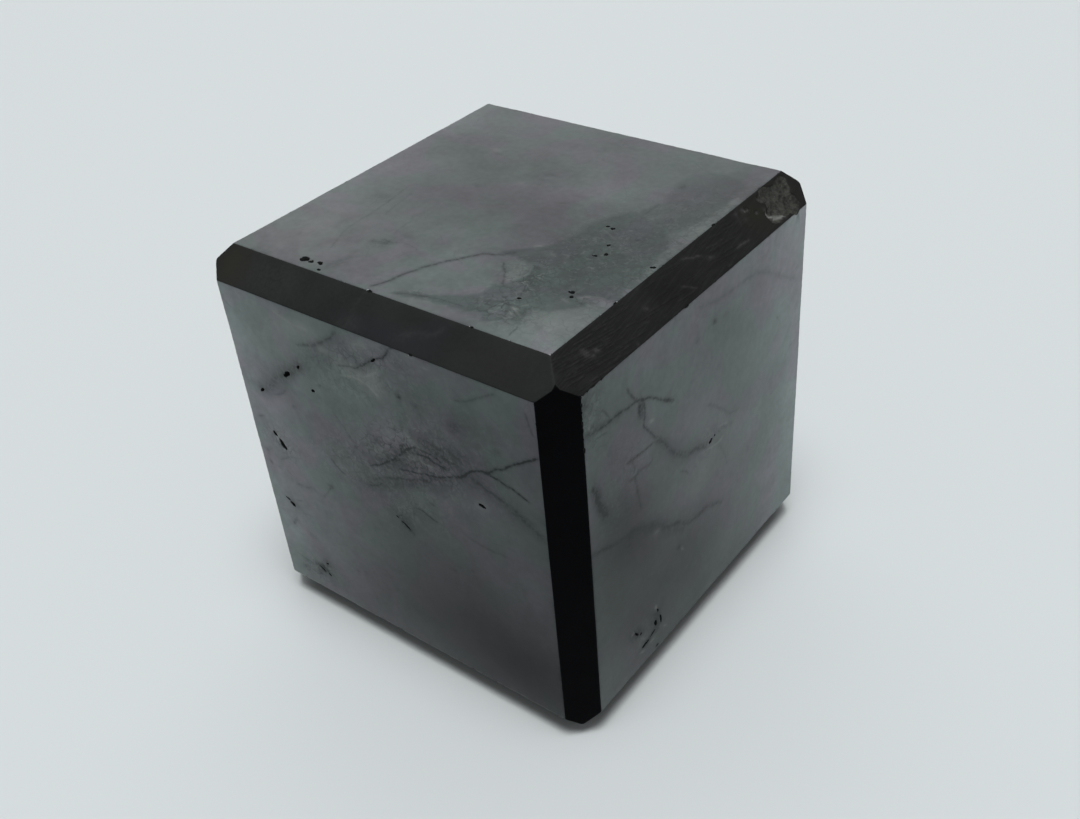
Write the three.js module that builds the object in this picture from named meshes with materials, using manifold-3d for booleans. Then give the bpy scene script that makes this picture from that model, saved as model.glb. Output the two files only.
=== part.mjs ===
// Shungite cube: one block of stone, polished flat on its six faces, with every edge ground
// to a broad bevel. Millimetres, +Z up. The origin lies under the middle of the block, in the
// plane of the face that it rests on. Front is -Y, right is +X, back is +Y and left is -X.

import * as THREE from 'three';
import { mergeVertices } from 'three/addons/utils/BufferGeometryUtils.js';
import Module from 'manifold-3d';

const wasm = await Module();
wasm.setup();

// Driving dimensions: the block between its polished faces
const WIDTH = 100;
const DEPTH = 100.5;
const HEIGHT = 99.3;

// How deep a pit is beside its width, and how far its widest part stands above the face
const PIT_DEPTH_TO_WIDTH = 0.7;
const LUMP_RISE = 0.2;

// How much a lump's surface departs from an even ellipsoid
const UNEVENNESS = 0.22;

// The grinding slab that takes an edge off: longer and wider than any bevel
const SLAB_LENGTH = 2 * WIDTH;
const SLAB_WIDTH = 0.6 * WIDTH;
const SLAB_THICKNESS = 0.2 * WIDTH;

// Each face has an outward direction, and directions across and up it, as it is looked at.
const faces = {
  front: face([0, -1, 0], [1, 0, 0], [0, 0, 1]),
  right: face([1, 0, 0], [0, 1, 0], [0, 0, 1]),
  back: face([0, 1, 0], [-1, 0, 0], [0, 0, 1]),
  left: face([-1, 0, 0], [0, -1, 0], [0, 0, 1]),
  top: face([0, 0, 1], [1, 0, 0], [0, 1, 0]),
  bottom: face([0, 0, -1], [1, 0, 0], [0, -1, 0]),
};

// Bevels, ground by hand, so no two are alike. reach is how far the bevel comes in over each of
// its two faces, and widening is how much more that is at the far end of the edge than at its
// near end. An edge runs along the first face's out x the second face's out.
const bevels = {
  topFront: bevel('top', 'front', [7.1, 5.9], 0.2),
  topRight: bevel('top', 'right', [7.2, 6.15], 0.0),
  topBack: bevel('top', 'back', [5.2, 6.0], -0.7),
  topLeft: bevel('top', 'left', [5.7, 6.0], -0.5),
  frontRight: bevel('front', 'right', [5.95, 6.1], 0.35),
  frontLeft: bevel('front', 'left', [6.0, 6.1], 0.0),
  backRight: bevel('back', 'right', [6.2, 6.1], -0.75),
  backLeft: bevel('back', 'left', [6.0, 6.4], 0.3),
  bottomFront: bevel('bottom', 'front', [6.2, 6.1], 0.1),
  bottomRight: bevel('bottom', 'right', [6.3, 6.7], -0.2),
  bottomBack: bevel('bottom', 'back', [6.1, 5.9], 0.3),
  bottomLeft: bevel('bottom', 'left', [5.9, 6.2], -0.3),
};

// Pits and slits that stayed open in the polish, as places on a face:
// across and up from the face's middle, length, width, turn in degrees.
const pits = {
  top: [
    [-24.7, -40.4, 2.5, 1.7, 0],
    [-22.6, -40.5, 1.1, 1.0, 20],
    [-20.4, -40.0, 1.6, 1.0, -20],
    [-18.6, -42.2, 1.0, 0.7, -15],
    [23.6, 3.2, 0.9, 0.7, 0],
    [25.1, 2.9, 1.1, 0.9, -40],
    [28.5, -3.6, 0.9, 0.8, 30],
    [30.3, -7.1, 0.9, 1.0, 0],
    [28.6, -8.7, 1.1, 0.7, 0],
    [41.6, -6.9, 1.2, 0.9, 20],
    [33.1, -23.0, 1.3, 1.1, 10],
    [34.1, -24.5, 0.9, 0.9, 0],
    [25.4, -30.1, 0.9, 0.7, 0],
  ],
  front: [
    [-26.9, 24.9, 2.6, 1.4, 30],
    [-22.3, 28.4, 1.4, 0.9, 40],
    [-37.4, 16.9, 2.3, 1.0, 30],
    [-19.0, 23.3, 1.1, 0.8, 10],
    [-34.6, 1.9, 2.4, 1.3, -50],
    [-36.4, 4.1, 1.9, 0.9, -45],
    [-36.6, -17.4, 1.2, 1.4, 0],
    [-38.3, -16.3, 1.6, 0.8, -20],
    [27.5, 11.5, 1.4, 0.8, 0],
    [2.5, 38.7, 2.0, 0.7, 35],
    [-30.8, -36.3, 2.1, 0.9, -35],
    [-28.7, -33.3, 1.7, 0.8, 30],
    [3.6, -5.3, 2.8, 0.8, -35],
  ],
  right: [
    [-28.8, -31.3, 4.0, 1.5, -45],
    [-26.2, -37.2, 2.4, 1.4, 5],
    [-22.9, -36.4, 2.8, 1.4, 15],
    [-21.4, -34.2, 1.3, 2.2, 0],
    [-19.4, -35.6, 1.2, 2.9, 10],
    [-21.0, -30.9, 2.2, 1.0, -55],
    [-21.5, -42.0, 1.4, 0.9, 20],
    [2.2, 3.0, 2.0, 1.1, 12],
    [6.8, 3.2, 1.2, 0.7, 0],
    [3.4, 33.8, 1.6, 0.9, -15],
    [-11.7, -18.7, 1.5, 0.8, -30],
    [-42.2, 42.3, 2.2, 0.8, -45],
  ],
  back: [
    [22.8, 31.5, 2.2, 1.2, 25],
    [25.2, 32.6, 1.2, 0.9, 0],
    [-31.0, 12.4, 1.4, 1.0, -30],
    [-28.4, 9.8, 2.6, 0.9, -40],
    [-9.5, -21.0, 1.2, 1.0, 0],
    [11.4, -33.6, 3.2, 1.2, 20],
    [14.6, -31.9, 1.3, 1.0, 0],
    [36.2, -12.1, 1.1, 0.9, 15],
  ],
  left: [
    [-33.6, -8.2, 1.9, 1.2, 60],
    [-31.9, -11.4, 1.2, 0.9, 0],
    [12.8, 25.6, 2.4, 1.0, -25],
    [16.4, 24.3, 1.1, 0.8, 0],
    [29.7, -28.4, 1.5, 1.2, 35],
    [-6.3, -36.2, 1.3, 0.9, 0],
    [-20.5, 33.7, 1.2, 0.8, -10],
  ],
  bottom: [
    [-27.3, 21.2, 2.1, 1.3, -35],
    [-24.4, 19.6, 1.1, 0.9, 0],
    [30.1, 27.5, 1.6, 1.0, 15],
    [21.8, -30.4, 2.7, 1.1, 40],
    [24.1, -27.6, 1.2, 0.9, 0],
    [-35.2, -24.9, 1.3, 1.0, 0],
  ],
};

// Nicks in the ridges where a bevel meets a face: the bevel, which of its two faces,
// the place along the edge from its middle, length, width.
const nicks = [
  [bevels.topFront, 0, -3.0, 1.6, 1.5],
  [bevels.topFront, 0, 24.0, 1.0, 0.6],
  [bevels.topFront, 1, 13.5, 1.2, 0.6],
  [bevels.topRight, 0, 14.8, 1.5, 0.8],
  [bevels.topRight, 0, -22.0, 1.1, 0.6],
  [bevels.topRight, 1, -7.5, 1.4, 0.7],
  [bevels.frontRight, 1, 31.0, 1.3, 0.7],
  [bevels.topBack, 1, 20.5, 1.7, 0.9],
  [bevels.topLeft, 1, -12.0, 1.4, 0.8],
  [bevels.backLeft, 0, 8.5, 2.0, 1.1],
  [bevels.backLeft, 1, -26.0, 1.2, 0.8],
  [bevels.backRight, 0, -19.0, 1.5, 0.8],
  [bevels.bottomBack, 1, -15.0, 1.8, 1.0],
  [bevels.bottomLeft, 1, 24.0, 1.6, 0.9],
];

// The scar where the top right bevel has broken out towards the back corner, as hollows on
// the bevel: along the edge from its middle, up the bevel from its middle, length, width, depth.
const scar = [
  [36.2, 0.2, 9.0, 8.0, 1.0],
  [32.8, -1.6, 5.6, 4.6, 1.3],
  [35.0, 2.6, 7.0, 3.6, 0.9],
  [39.6, -2.4, 6.4, 4.4, 1.2],
  [41.0, 1.8, 6.2, 5.0, 0.8],
  [26.2, 2.8, 1.8, 1.2, 0.5],
  [28.3, 1.0, 1.4, 1.0, 0.4],
];

// Worn corners: each is the meeting of three bevels, and how wide its flat is.
const wornCorners = [
  [['topRight', 'frontRight', 'topFront'], 0.9],
  [['topRight', 'backRight', 'topBack'], 0.6],
  [['topLeft', 'frontLeft', 'topFront'], 0.5],
  [['topLeft', 'backLeft', 'topBack'], 0.9],
  [['bottomRight', 'frontRight', 'bottomFront'], 0.4],
  [['bottomRight', 'backRight', 'bottomBack'], 0.8],
  [['bottomLeft', 'frontLeft', 'bottomFront'], 0.6],
  [['bottomLeft', 'backLeft', 'bottomBack'], 1.2],
];

const stone = new THREE.MeshStandardMaterial({
  color: 0x5d6163,
  roughness: 0.38,
  metalness: 0.25,
  flatShading: true,
});

function direction([x, y, z]) {
  return new THREE.Vector3(x, y, z);
}

function face(out, across, up) {
  const half = new THREE.Vector3(WIDTH / 2, DEPTH / 2, HEIGHT / 2);
  const middle = new THREE.Vector3(0, 0, HEIGHT / 2).addScaledVector(
    direction(out), half.dot(direction(out.map(Math.abs))));
  return { out: direction(out), across: direction(across), up: direction(up), middle };
}

// A bevel's plane: point lies on it at the edge's middle, and out is its outward direction.
function bevel(first, second, reach, widening) {
  const [a, b] = [faces[first], faces[second]];
  const along = a.out.clone().cross(b.out);
  const length = Math.abs(along.dot(new THREE.Vector3(WIDTH, DEPTH, HEIGHT)));
  const corner = new THREE.Vector3(0, 0, HEIGHT / 2)
    .addScaledVector(a.out, a.out.dot(a.middle) - a.out.z * HEIGHT / 2)
    .addScaledVector(b.out, b.out.dot(b.middle) - b.out.z * HEIGHT / 2);
  const meanReach = (reach[0] + reach[1]) / 2;
  const out = new THREE.Vector3()
    .addScaledVector(a.out, reach[0])
    .addScaledVector(b.out, reach[1])
    .addScaledVector(along, widening * meanReach / length)
    .normalize();
  const ridges = [
    corner.clone().addScaledVector(b.out, -reach[0]),
    corner.clone().addScaledVector(a.out, -reach[1]),
  ];
  const point = ridges[0].clone().lerp(ridges[1], 0.5);
  return { out, along, point, ridges };
}

function toSolid(geometry) {
  geometry.deleteAttribute('normal');
  geometry.deleteAttribute('uv');
  const merged = mergeVertices(geometry);
  return new wasm.Manifold(new wasm.Mesh({
    numProp: 3,
    vertProperties: new Float32Array(merged.attributes.position.array),
    triVerts: new Uint32Array(merged.index.array),
  }));
}

// Puts a shape's own X, Y and Z along the given directions, with its origin at a point.
function placed(geometry, across, up, out, point) {
  return geometry.applyMatrix4(new THREE.Matrix4().makeBasis(across, up, out).setPosition(point));
}

// A slab that lies outside a plane and takes off all that is there.
function slabOutside(point, out, along) {
  const across = along.clone().addScaledVector(out, -out.dot(along)).normalize();
  const up = out.clone().cross(across);
  const slab = new THREE.BoxGeometry(SLAB_LENGTH, SLAB_WIDTH, SLAB_THICKNESS);
  slab.translate(0, 0, SLAB_THICKNESS / 2);
  return toSolid(placed(slab, across, up, out, point));
}

// An uneven lump: the shape of a hollow, sunk into a surface by its depth.
function lump(length, width, depth, seed) {
  const ball = new THREE.IcosahedronGeometry(1, 1);
  ball.deleteAttribute('normal');
  ball.deleteAttribute('uv');
  const shape = mergeVertices(ball);
  const points = shape.attributes.position;
  THREE.MathUtils.seededRandom(seed);
  for (let i = 0; i < points.count; i += 1) {
    const swell = 1 + UNEVENNESS * (2 * THREE.MathUtils.seededRandom() - 1);
    points.setXYZ(i, points.getX(i) * swell, points.getY(i) * swell, points.getZ(i) * swell);
  }
  shape.scale(length / 2, width / 2, depth * (1 + LUMP_RISE));
  shape.translate(0, 0, depth * LUMP_RISE);
  return shape;
}

function pitSolid(side, [across, up, length, width, turn], seed) {
  const { out, middle } = side;
  const shape = lump(length, width, PIT_DEPTH_TO_WIDTH * width, seed);
  shape.rotateZ(THREE.MathUtils.degToRad(turn));
  const point = middle.clone()
    .addScaledVector(side.across, across)
    .addScaledVector(side.up, up);
  return toSolid(placed(shape, side.across, side.up, out, point));
}

function nickSolid([edge, ridge, along, length, width], seed) {
  const shape = lump(length, width, width / 2, seed);
  const point = edge.ridges[ridge].clone().addScaledVector(edge.along, along);
  const up = edge.out.clone().cross(edge.along).normalize();
  const across = up.clone().cross(edge.out);
  return toSolid(placed(shape, across, up, edge.out, point));
}

// The bevel's own up direction runs from its lower ridge to its upper one.
function scarSolid([along, up, length, width, depth], seed) {
  const { out, point, ridges } = bevels.topRight;
  const climb = ridges[0].clone().sub(ridges[1]).normalize();
  const run = climb.clone().cross(out).normalize();
  const place = point.clone().addScaledVector(run, along).addScaledVector(climb, up);
  return toSolid(placed(lump(length, width, depth, seed), run, climb, out, place));
}

// The point that three bevel planes share.
function meeting(planes) {
  const [p, q, r] = planes.map(({ out, point }) => ({ out, offset: out.dot(point) }));
  const qr = q.out.clone().cross(r.out);
  return qr.clone().multiplyScalar(p.offset)
    .addScaledVector(r.out.clone().cross(p.out), q.offset)
    .addScaledVector(p.out.clone().cross(q.out), r.offset)
    .divideScalar(p.out.dot(qr));
}

// A corner's wear: a small flat square to the corner's own direction.
function wornCornerSolid([names, flat]) {
  const planes = names.map((name) => bevels[name]);
  const tip = meeting(planes);
  const out = new THREE.Vector3();
  planes.forEach((plane) => out.add(plane.out));
  out.normalize();
  const drop = flat * Math.tan(out.angleTo(planes[0].out)) / 2;
  return slabOutside(tip.addScaledVector(out, -drop), out, planes[0].along);
}

function block() {
  const box = new THREE.BoxGeometry(WIDTH, DEPTH, HEIGHT);
  box.translate(0, 0, HEIGHT / 2);
  let solid = toSolid(box);
  for (const { point, out, along } of Object.values(bevels)) {
    solid = solid.subtract(slabOutside(point, out, along));
  }
  return solid;
}

function shungiteCube() {
  const cutters = [];
  for (const [name, places] of Object.entries(pits)) {
    places.forEach((place) => cutters.push(pitSolid(faces[name], place, cutters.length + 1)));
  }
  nicks.forEach((nick) => cutters.push(nickSolid(nick, cutters.length + 1)));
  scar.forEach((hollow) => cutters.push(scarSolid(hollow, cutters.length + 1)));
  wornCorners.forEach((corner) => cutters.push(wornCornerSolid(corner)));
  let solid = block();
  for (const cutter of cutters) {
    solid = solid.subtract(cutter);
  }
  const { vertProperties, triVerts } = solid.getMesh();
  const geometry = new THREE.BufferGeometry();
  geometry.setAttribute('position', new THREE.BufferAttribute(vertProperties, 3));
  geometry.setIndex(new THREE.BufferAttribute(triVerts, 1));
  const mesh = new THREE.Mesh(geometry, stone);
  mesh.name = 'shungite_cube';
  return mesh;
}

const group = new THREE.Group();
group.add(shungiteCube());

export default group;
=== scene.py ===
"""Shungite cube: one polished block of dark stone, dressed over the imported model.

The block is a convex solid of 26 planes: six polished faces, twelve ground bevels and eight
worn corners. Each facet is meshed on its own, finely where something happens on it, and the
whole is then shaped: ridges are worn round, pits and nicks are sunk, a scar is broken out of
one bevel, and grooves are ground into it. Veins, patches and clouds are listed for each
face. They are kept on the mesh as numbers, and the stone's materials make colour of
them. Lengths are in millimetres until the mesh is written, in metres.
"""

import logging
import math
from dataclasses import dataclass
from enum import Enum
import bpy
import numpy as np
from mathutils import Matrix, Vector, noise
from mathutils.geometry import delaunay_2d_cdt


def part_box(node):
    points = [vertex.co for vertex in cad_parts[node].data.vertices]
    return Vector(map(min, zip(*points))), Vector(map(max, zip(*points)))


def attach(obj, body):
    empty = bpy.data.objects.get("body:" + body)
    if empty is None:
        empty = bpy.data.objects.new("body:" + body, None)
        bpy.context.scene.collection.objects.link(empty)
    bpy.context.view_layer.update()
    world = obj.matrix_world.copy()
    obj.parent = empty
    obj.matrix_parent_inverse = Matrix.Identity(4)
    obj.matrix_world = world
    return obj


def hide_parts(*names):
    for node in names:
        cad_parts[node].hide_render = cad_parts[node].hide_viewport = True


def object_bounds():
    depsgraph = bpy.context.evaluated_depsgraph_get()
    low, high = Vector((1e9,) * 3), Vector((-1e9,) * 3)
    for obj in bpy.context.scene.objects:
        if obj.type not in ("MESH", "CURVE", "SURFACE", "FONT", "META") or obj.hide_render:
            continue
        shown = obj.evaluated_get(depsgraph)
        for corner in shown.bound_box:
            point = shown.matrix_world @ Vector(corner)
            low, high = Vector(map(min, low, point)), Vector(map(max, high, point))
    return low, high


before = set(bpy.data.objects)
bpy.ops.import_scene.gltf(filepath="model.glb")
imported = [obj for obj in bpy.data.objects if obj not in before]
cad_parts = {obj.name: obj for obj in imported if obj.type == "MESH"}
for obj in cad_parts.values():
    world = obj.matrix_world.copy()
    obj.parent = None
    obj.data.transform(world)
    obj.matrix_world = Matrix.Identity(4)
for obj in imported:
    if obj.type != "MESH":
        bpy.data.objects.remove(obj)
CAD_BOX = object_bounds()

LOG = logging.getLogger("shungite_cube")

MM = 0.001
NODE = "shungite_cube"

# How the given lines wander: without a seed, Blender's noise vectors start from the clock.
WANDER_SEED = 7

# The distance between the rows of an even lattice, as a share of its points' spacing.
LATTICE_ROW = 0.866
# More than any length on the stone.
FAR = 1e9
# Less than any length on the stone, so that nothing is divided by zero.
TINY = 1e-9

Flat = tuple[float, float]
Triple = tuple[float, float, float]
Path = list[Flat]
Bed = tuple[np.ndarray, float]


class Side(Enum):
    """The block's polished faces, each with its directions out, across and up."""

    FRONT = ((0, -1, 0), (1, 0, 0), (0, 0, 1))
    RIGHT = ((1, 0, 0), (0, 1, 0), (0, 0, 1))
    BACK = ((0, 1, 0), (-1, 0, 0), (0, 0, 1))
    LEFT = ((-1, 0, 0), (0, -1, 0), (0, 0, 1))
    TOP = ((0, 0, 1), (1, 0, 0), (0, 1, 0))
    BOTTOM = ((0, 0, -1), (1, 0, 0), (0, -1, 0))

    @property
    def out(self) -> np.ndarray:
        """The way that the face looks."""
        return np.array(self.value[0], float)

    @property
    def across(self) -> np.ndarray:
        """To the right, for someone who looks at the face."""
        return np.array(self.value[1], float)

    @property
    def up(self) -> np.ndarray:
        """Up the face, for someone who looks at it."""
        return np.array(self.value[2], float)


class Finish(Enum):
    """What the surface has been through, with painted light and painted shade on three near bevels; the
    value is the mesh's material slot.
    """

    POLISHED = 0
    # The smooth and the scratched finish are lit copies of ground stone, for the two upper near bevels:
    # their brighter tone is painted light. The one after them is a shaded copy, for the near upright bevel
    # and the near worn corner: its near-black is painted shade.
    SMOOTH_GROUND_PAINTED_LIGHT = 1
    SCRATCHED_GROUND_PAINTED_LIGHT = 2
    GROUND_PAINTED_SHADE = 3
    PLAIN_GROUND = 4
    BROKEN = 5


class Shade(Enum):
    """What a marking does to the stone's colour: the value names the mesh's number for it."""

    DARK = "darkness"
    PALE = "paleness"
    GREEN = "greenness"
    PURPLE = "purpleness"
    SHATTERED = "shatter"
    # Tone clouds: on the top, front and right faces they are painted reflection and painted shade, the
    # broad light and dark that reflections of the room lay over the polish; on the other faces they are
    # the stone's own tone.
    TONE = "tone"


def unit(vector: np.ndarray) -> np.ndarray:
    """The vector at length one."""
    return vector / np.linalg.norm(vector)


def smooth_step(value: np.ndarray) -> np.ndarray:
    """Zero below 0, one above 1, and a soft rise between."""
    held = np.clip(value, 0.0, 1.0)
    return held * held * (3.0 - 2.0 * held)


def ellipse_lattice(at: Flat, size: Flat, turn: float, step: float) -> np.ndarray:
    """Evenly spread points inside an ellipse.

    Args:
        at: The ellipse's middle.
        size: Its full length and width.
        turn: How far its length is turned from the across direction, in degrees.
        step: The spacing of the points.

    Returns:
        The points, one in a row.
    """
    columns = math.ceil(size[0] / 2 / step)
    rows = math.ceil(size[1] / 2 / (step * LATTICE_ROW))
    points = []
    for row in range(-rows, rows + 1):
        for column in range(-columns, columns + 1):
            x = (column + 0.5 * (row % 2)) * step
            y = row * step * LATTICE_ROW
            if (2 * x / size[0]) ** 2 + (2 * y / size[1]) ** 2 <= 1.0:
                points.append((x, y))
    return np.array(at) + np.array(points or [(0.0, 0.0)]) @ turning(turn).T


def turning(degrees: float) -> np.ndarray:
    """The matrix that turns flat points anticlockwise."""
    angle = math.radians(degrees)
    return np.array([[math.cos(angle), -math.sin(angle)], [math.sin(angle), math.cos(angle)]])


def distance_to_path(points: np.ndarray, path: np.ndarray) -> tuple[np.ndarray, np.ndarray]:
    """How far points lie from a path.

    Args:
        points: Flat points, one in a row.
        path: The path's own points, one in a row.

    Returns:
        Each point's distance, and how far along the path its nearest place is.
    """
    best = np.full(len(points), FAR)
    place = np.zeros(len(points))
    run = 0.0
    for start, end in zip(path[:-1], path[1:]):
        step = end - start
        length = max(float(np.linalg.norm(step)), TINY)
        share = np.clip((points - start) @ step / length ** 2, 0.0, 1.0)
        distance = np.linalg.norm(points - start - share[:, None] * step, axis=1)
        nearer = distance < best
        best[nearer] = distance[nearer]
        place[nearer] = run + share[nearer] * length
        run += length
    return best, place


def natural_path(path: Path, closed: bool, step: float, wander: float) -> np.ndarray:
    """Draws a given path as a natural line: curved through its points, and unsteady.

    Args:
        path: The given points.
        closed: True for an outline, which returns to its start.
        step: The spacing of the new points.
        wander: How far the line strays to either side.

    Returns:
        The line's points, one in a row.
    """
    knots = [np.array(point, float) for point in path]
    ends = (knots[-1:], knots[:2]) if closed else (knots[:1], knots[-1:])
    knots = [*ends[0], *knots, *ends[1]]
    line = []
    for before, start, end, after in zip(knots, knots[1:], knots[2:], knots[3:]):
        count = max(1, round(float(np.linalg.norm(end - start)) / step))
        for index in range(count):
            t = index / count
            line.append(0.5 * (2 * start + (end - before) * t
                               + (2 * before - 5 * start + 4 * end - after) * t ** 2
                               + (3 * start - before - 3 * end + after) * t ** 3))
    if not closed:
        line.append(knots[-2])
    for point in line:
        shift = noise.noise_vector(Vector((point[0] * 0.8, point[1] * 0.8, 4.0)))
        fine = noise.noise_vector(Vector((point[0] * 2.3, point[1] * 2.3, 9.0)))
        point += wander * np.array([shift.x + 0.5 * fine.x, shift.y + 0.5 * fine.y])
    return np.array(line + line[:1] if closed else line)


def rows_beside(line: np.ndarray, width: float, offsets: tuple[float, ...]) -> np.ndarray:
    """Rows of points that follow a line.

    Args:
        line: The line's points, one in a row.
        width: The line's width.
        offsets: How far to the line's left each row runs, in widths.

    Returns:
        The points, one row after another.
    """
    along = np.gradient(line, axis=0)
    beside = np.stack([-along[:, 1], along[:, 0]], axis=1)
    beside /= np.maximum(np.linalg.norm(beside, axis=1), TINY)[:, None]
    return np.concatenate([line + beside * width * offset for offset in offsets])


@dataclass(frozen=True)
class Vein:
    """A thin line of other mineral in the polish.

    Attributes:
        path: Its given points, across and up from the face's middle.
        width: How wide the line is.
        strength: How much darker, or paler, it is than the stone beside it.
        shade: What it does to the colour.
        wander: How far it strays from the given points.
    """

    path: Path
    width: float
    strength: float
    shade: Shade = Shade.DARK
    wander: float = 0.22

    def line(self) -> np.ndarray:
        """The vein's course."""
        return natural_path(self.path, False, max(0.45, 0.7 * self.width), self.wander)

    def bed(self) -> Bed:
        """The points that a mesh needs to carry the vein, and their least spacing."""
        points = rows_beside(self.line(), self.width, (0.0, 0.55, -0.55, 1.1, -1.1))
        return points, 0.36 * self.width

    def amount(self, points: np.ndarray) -> np.ndarray:
        """How strongly the vein shows at each point."""
        distance, place = distance_to_path(points, self.line())
        length = place.max(initial=1.0)
        fade = smooth_step(np.minimum(place, length - place) / 1.6 + 0.25)
        return self.strength * fade * np.exp(-1.3 * (2.0 * distance / self.width) ** 2)


@dataclass(frozen=True)
class Patch:
    """A bounded area of darker stone with an uneven edge.

    Attributes:
        outline: Its given corners, across and up from the face's middle.
        strength: How fully it takes on the patch's own colour.
        edge: How wide the change at its edge is.
    """

    outline: Path
    strength: float
    edge: float = 0.5

    def line(self) -> np.ndarray:
        """The patch's edge."""
        return natural_path(self.outline, True, 0.8, 0.5)

    def bed(self) -> Bed:
        """The points that a mesh needs to carry the edge, and their least spacing."""
        return rows_beside(self.line(), self.edge, (-0.6, 0.6)), 0.4 * self.edge

    def amount(self, points: np.ndarray) -> np.ndarray:
        """How fully each point is inside the patch."""
        line = self.line()
        distance, _ = distance_to_path(points, line)
        inside = np.zeros(len(points), bool)
        for start, end in zip(line[:-1], line[1:]):
            crosses = (start[1] > points[:, 1]) != (end[1] > points[:, 1])
            rise = end[1] - start[1] or 1e-12
            level = start[0] + (points[:, 1] - start[1]) / rise * (end[0] - start[0])
            inside ^= crosses & (points[:, 0] < level)
        depth = np.where(inside, distance, -distance)
        return self.strength * smooth_step(0.5 + depth / self.edge)


@dataclass(frozen=True)
class Cloud:
    """A soft spot of another tone, of any size from a fleck to half a face.

    Attributes:
        at: Its middle, across and up from the face's middle.
        size: Its length and width.
        turn: How far its length is turned from the across direction, in degrees.
        strength: How much it changes the stone.
        shade: What it does to the colour.
    """

    at: Flat
    size: Flat
    turn: float
    strength: float
    shade: Shade

    def bed(self) -> Bed:
        """The points that a mesh needs to carry the spot, and their least spacing."""
        step = min(max(0.3 * min(self.size), 0.32), 2.4)
        grown = (1.5 * self.size[0], 1.5 * self.size[1])
        return ellipse_lattice(self.at, grown, self.turn, step), 0.7 * step

    def amount(self, points: np.ndarray) -> np.ndarray:
        """How strongly the spot shows at each point."""
        local = (points - np.array(self.at)) @ turning(self.turn)
        spread = (2 * local[:, 0] / self.size[0]) ** 2 + (2 * local[:, 1] / self.size[1]) ** 2
        return self.strength * np.exp(-1.2 * spread)


def clouds(shade: Shade, *rows: tuple[float, ...]) -> tuple[Cloud, ...]:
    """Clouds of one shade, each from its place across and up, length, width, turn and strength."""
    return tuple(Cloud(row[:2], row[2:4], row[4], row[5], shade) for row in rows)


@dataclass(frozen=True)
class Markings:
    """All that the polish or the grinding has laid bare on one facet, and on the top, front and right
    faces the painted reflection and painted shade of the tone clouds.
    """

    veins: tuple[Vein, ...] = ()
    patches: tuple[Patch, ...] = ()
    clouds: tuple[Cloud, ...] = ()

    def beds(self) -> list[Bed]:
        """The points that a mesh needs to carry the markings, finest first."""
        beds = [mark.bed() for mark in (*self.veins, *self.patches, *self.clouds)]
        return sorted(beds, key=lambda bed: bed[1])

    def amounts(self, points: np.ndarray) -> dict[str, np.ndarray]:
        """Adds the markings up at each point.

        Args:
            points: Flat points of the facet, one in a row.

        Returns:
            One row of numbers for each kind of marking, by its name.
        """
        amounts = {shade.value: np.zeros(len(points)) for shade in Shade}
        for vein in self.veins:
            held = amounts[vein.shade.value]
            np.maximum(held, vein.amount(points), out=held)
        for cloud in self.clouds:
            amounts[cloud.shade.value] += cloud.amount(points)
        amounts["patch"] = np.zeros(len(points))
        for patch in self.patches:
            np.maximum(amounts["patch"], patch.amount(points), out=amounts["patch"])
        return amounts


@dataclass(frozen=True)
class Plane:
    """A flat cut through the stone: all that lies on its out side is gone."""

    out: np.ndarray
    point: np.ndarray

    @property
    def offset(self) -> float:
        """How far the plane stands from the origin, along its out direction."""
        return float(self.out @ self.point)


@dataclass(frozen=True)
class Bevel:
    """A ground edge between two faces.

    Attributes:
        first: The face on the bevel's upper side.
        second: The face on its lower side.
        reach: How far the bevel comes in over each of the two faces.
        widening: How much more that is at the edge's far end than at its near end.
        finish: How it was ground; on the two upper near bevels it also carries painted light, and on the
            near upright bevel painted shade.
    """

    first: Side
    second: Side
    reach: Flat
    widening: float
    finish: Finish = Finish.PLAIN_GROUND

    @property
    def along(self) -> np.ndarray:
        """The way that the edge runs."""
        return np.cross(self.first.out, self.second.out)


# The top_front and top_right bevels take the lit copies of the ground finish, with painted light in their
# tone, and front_right the shaded copy, with painted shade.
BEVELS = {
    "top_front": Bevel(Side.TOP, Side.FRONT, (7.1, 5.9), 0.2, Finish.SMOOTH_GROUND_PAINTED_LIGHT),
    "top_right": Bevel(Side.TOP, Side.RIGHT, (7.2, 6.15), 0.0, Finish.SCRATCHED_GROUND_PAINTED_LIGHT),
    "top_back": Bevel(Side.TOP, Side.BACK, (5.2, 6.0), -0.7),
    "top_left": Bevel(Side.TOP, Side.LEFT, (5.7, 6.0), -0.5),
    "front_right": Bevel(Side.FRONT, Side.RIGHT, (5.95, 6.1), 0.35, Finish.GROUND_PAINTED_SHADE),
    "front_left": Bevel(Side.FRONT, Side.LEFT, (6.0, 6.1), 0.0),
    "back_right": Bevel(Side.BACK, Side.RIGHT, (6.2, 6.1), -0.75),
    "back_left": Bevel(Side.BACK, Side.LEFT, (6.0, 6.4), 0.3),
    "bottom_front": Bevel(Side.BOTTOM, Side.FRONT, (6.2, 6.1), 0.1),
    "bottom_right": Bevel(Side.BOTTOM, Side.RIGHT, (6.3, 6.7), -0.2),
    "bottom_back": Bevel(Side.BOTTOM, Side.BACK, (6.1, 5.9), 0.3),
    "bottom_left": Bevel(Side.BOTTOM, Side.LEFT, (5.9, 6.2), -0.3),
}

# Worn corners: the three bevels that meet there, and how wide the worn flat is.
WORN_CORNERS = {
    "near_corner": (("top_right", "front_right", "top_front"), 0.9),
    "scarred_corner": (("top_right", "back_right", "top_back"), 0.6),
    "left_corner": (("top_left", "front_left", "top_front"), 0.5),
    "back_corner": (("top_left", "back_left", "top_back"), 0.9),
    "lower_near_corner": (("bottom_right", "front_right", "bottom_front"), 0.4),
    "lower_right_corner": (("bottom_right", "back_right", "bottom_back"), 0.8),
    "lower_left_corner": (("bottom_left", "front_left", "bottom_front"), 0.6),
    "lower_back_corner": (("bottom_left", "back_left", "bottom_back"), 1.2),
}


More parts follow.
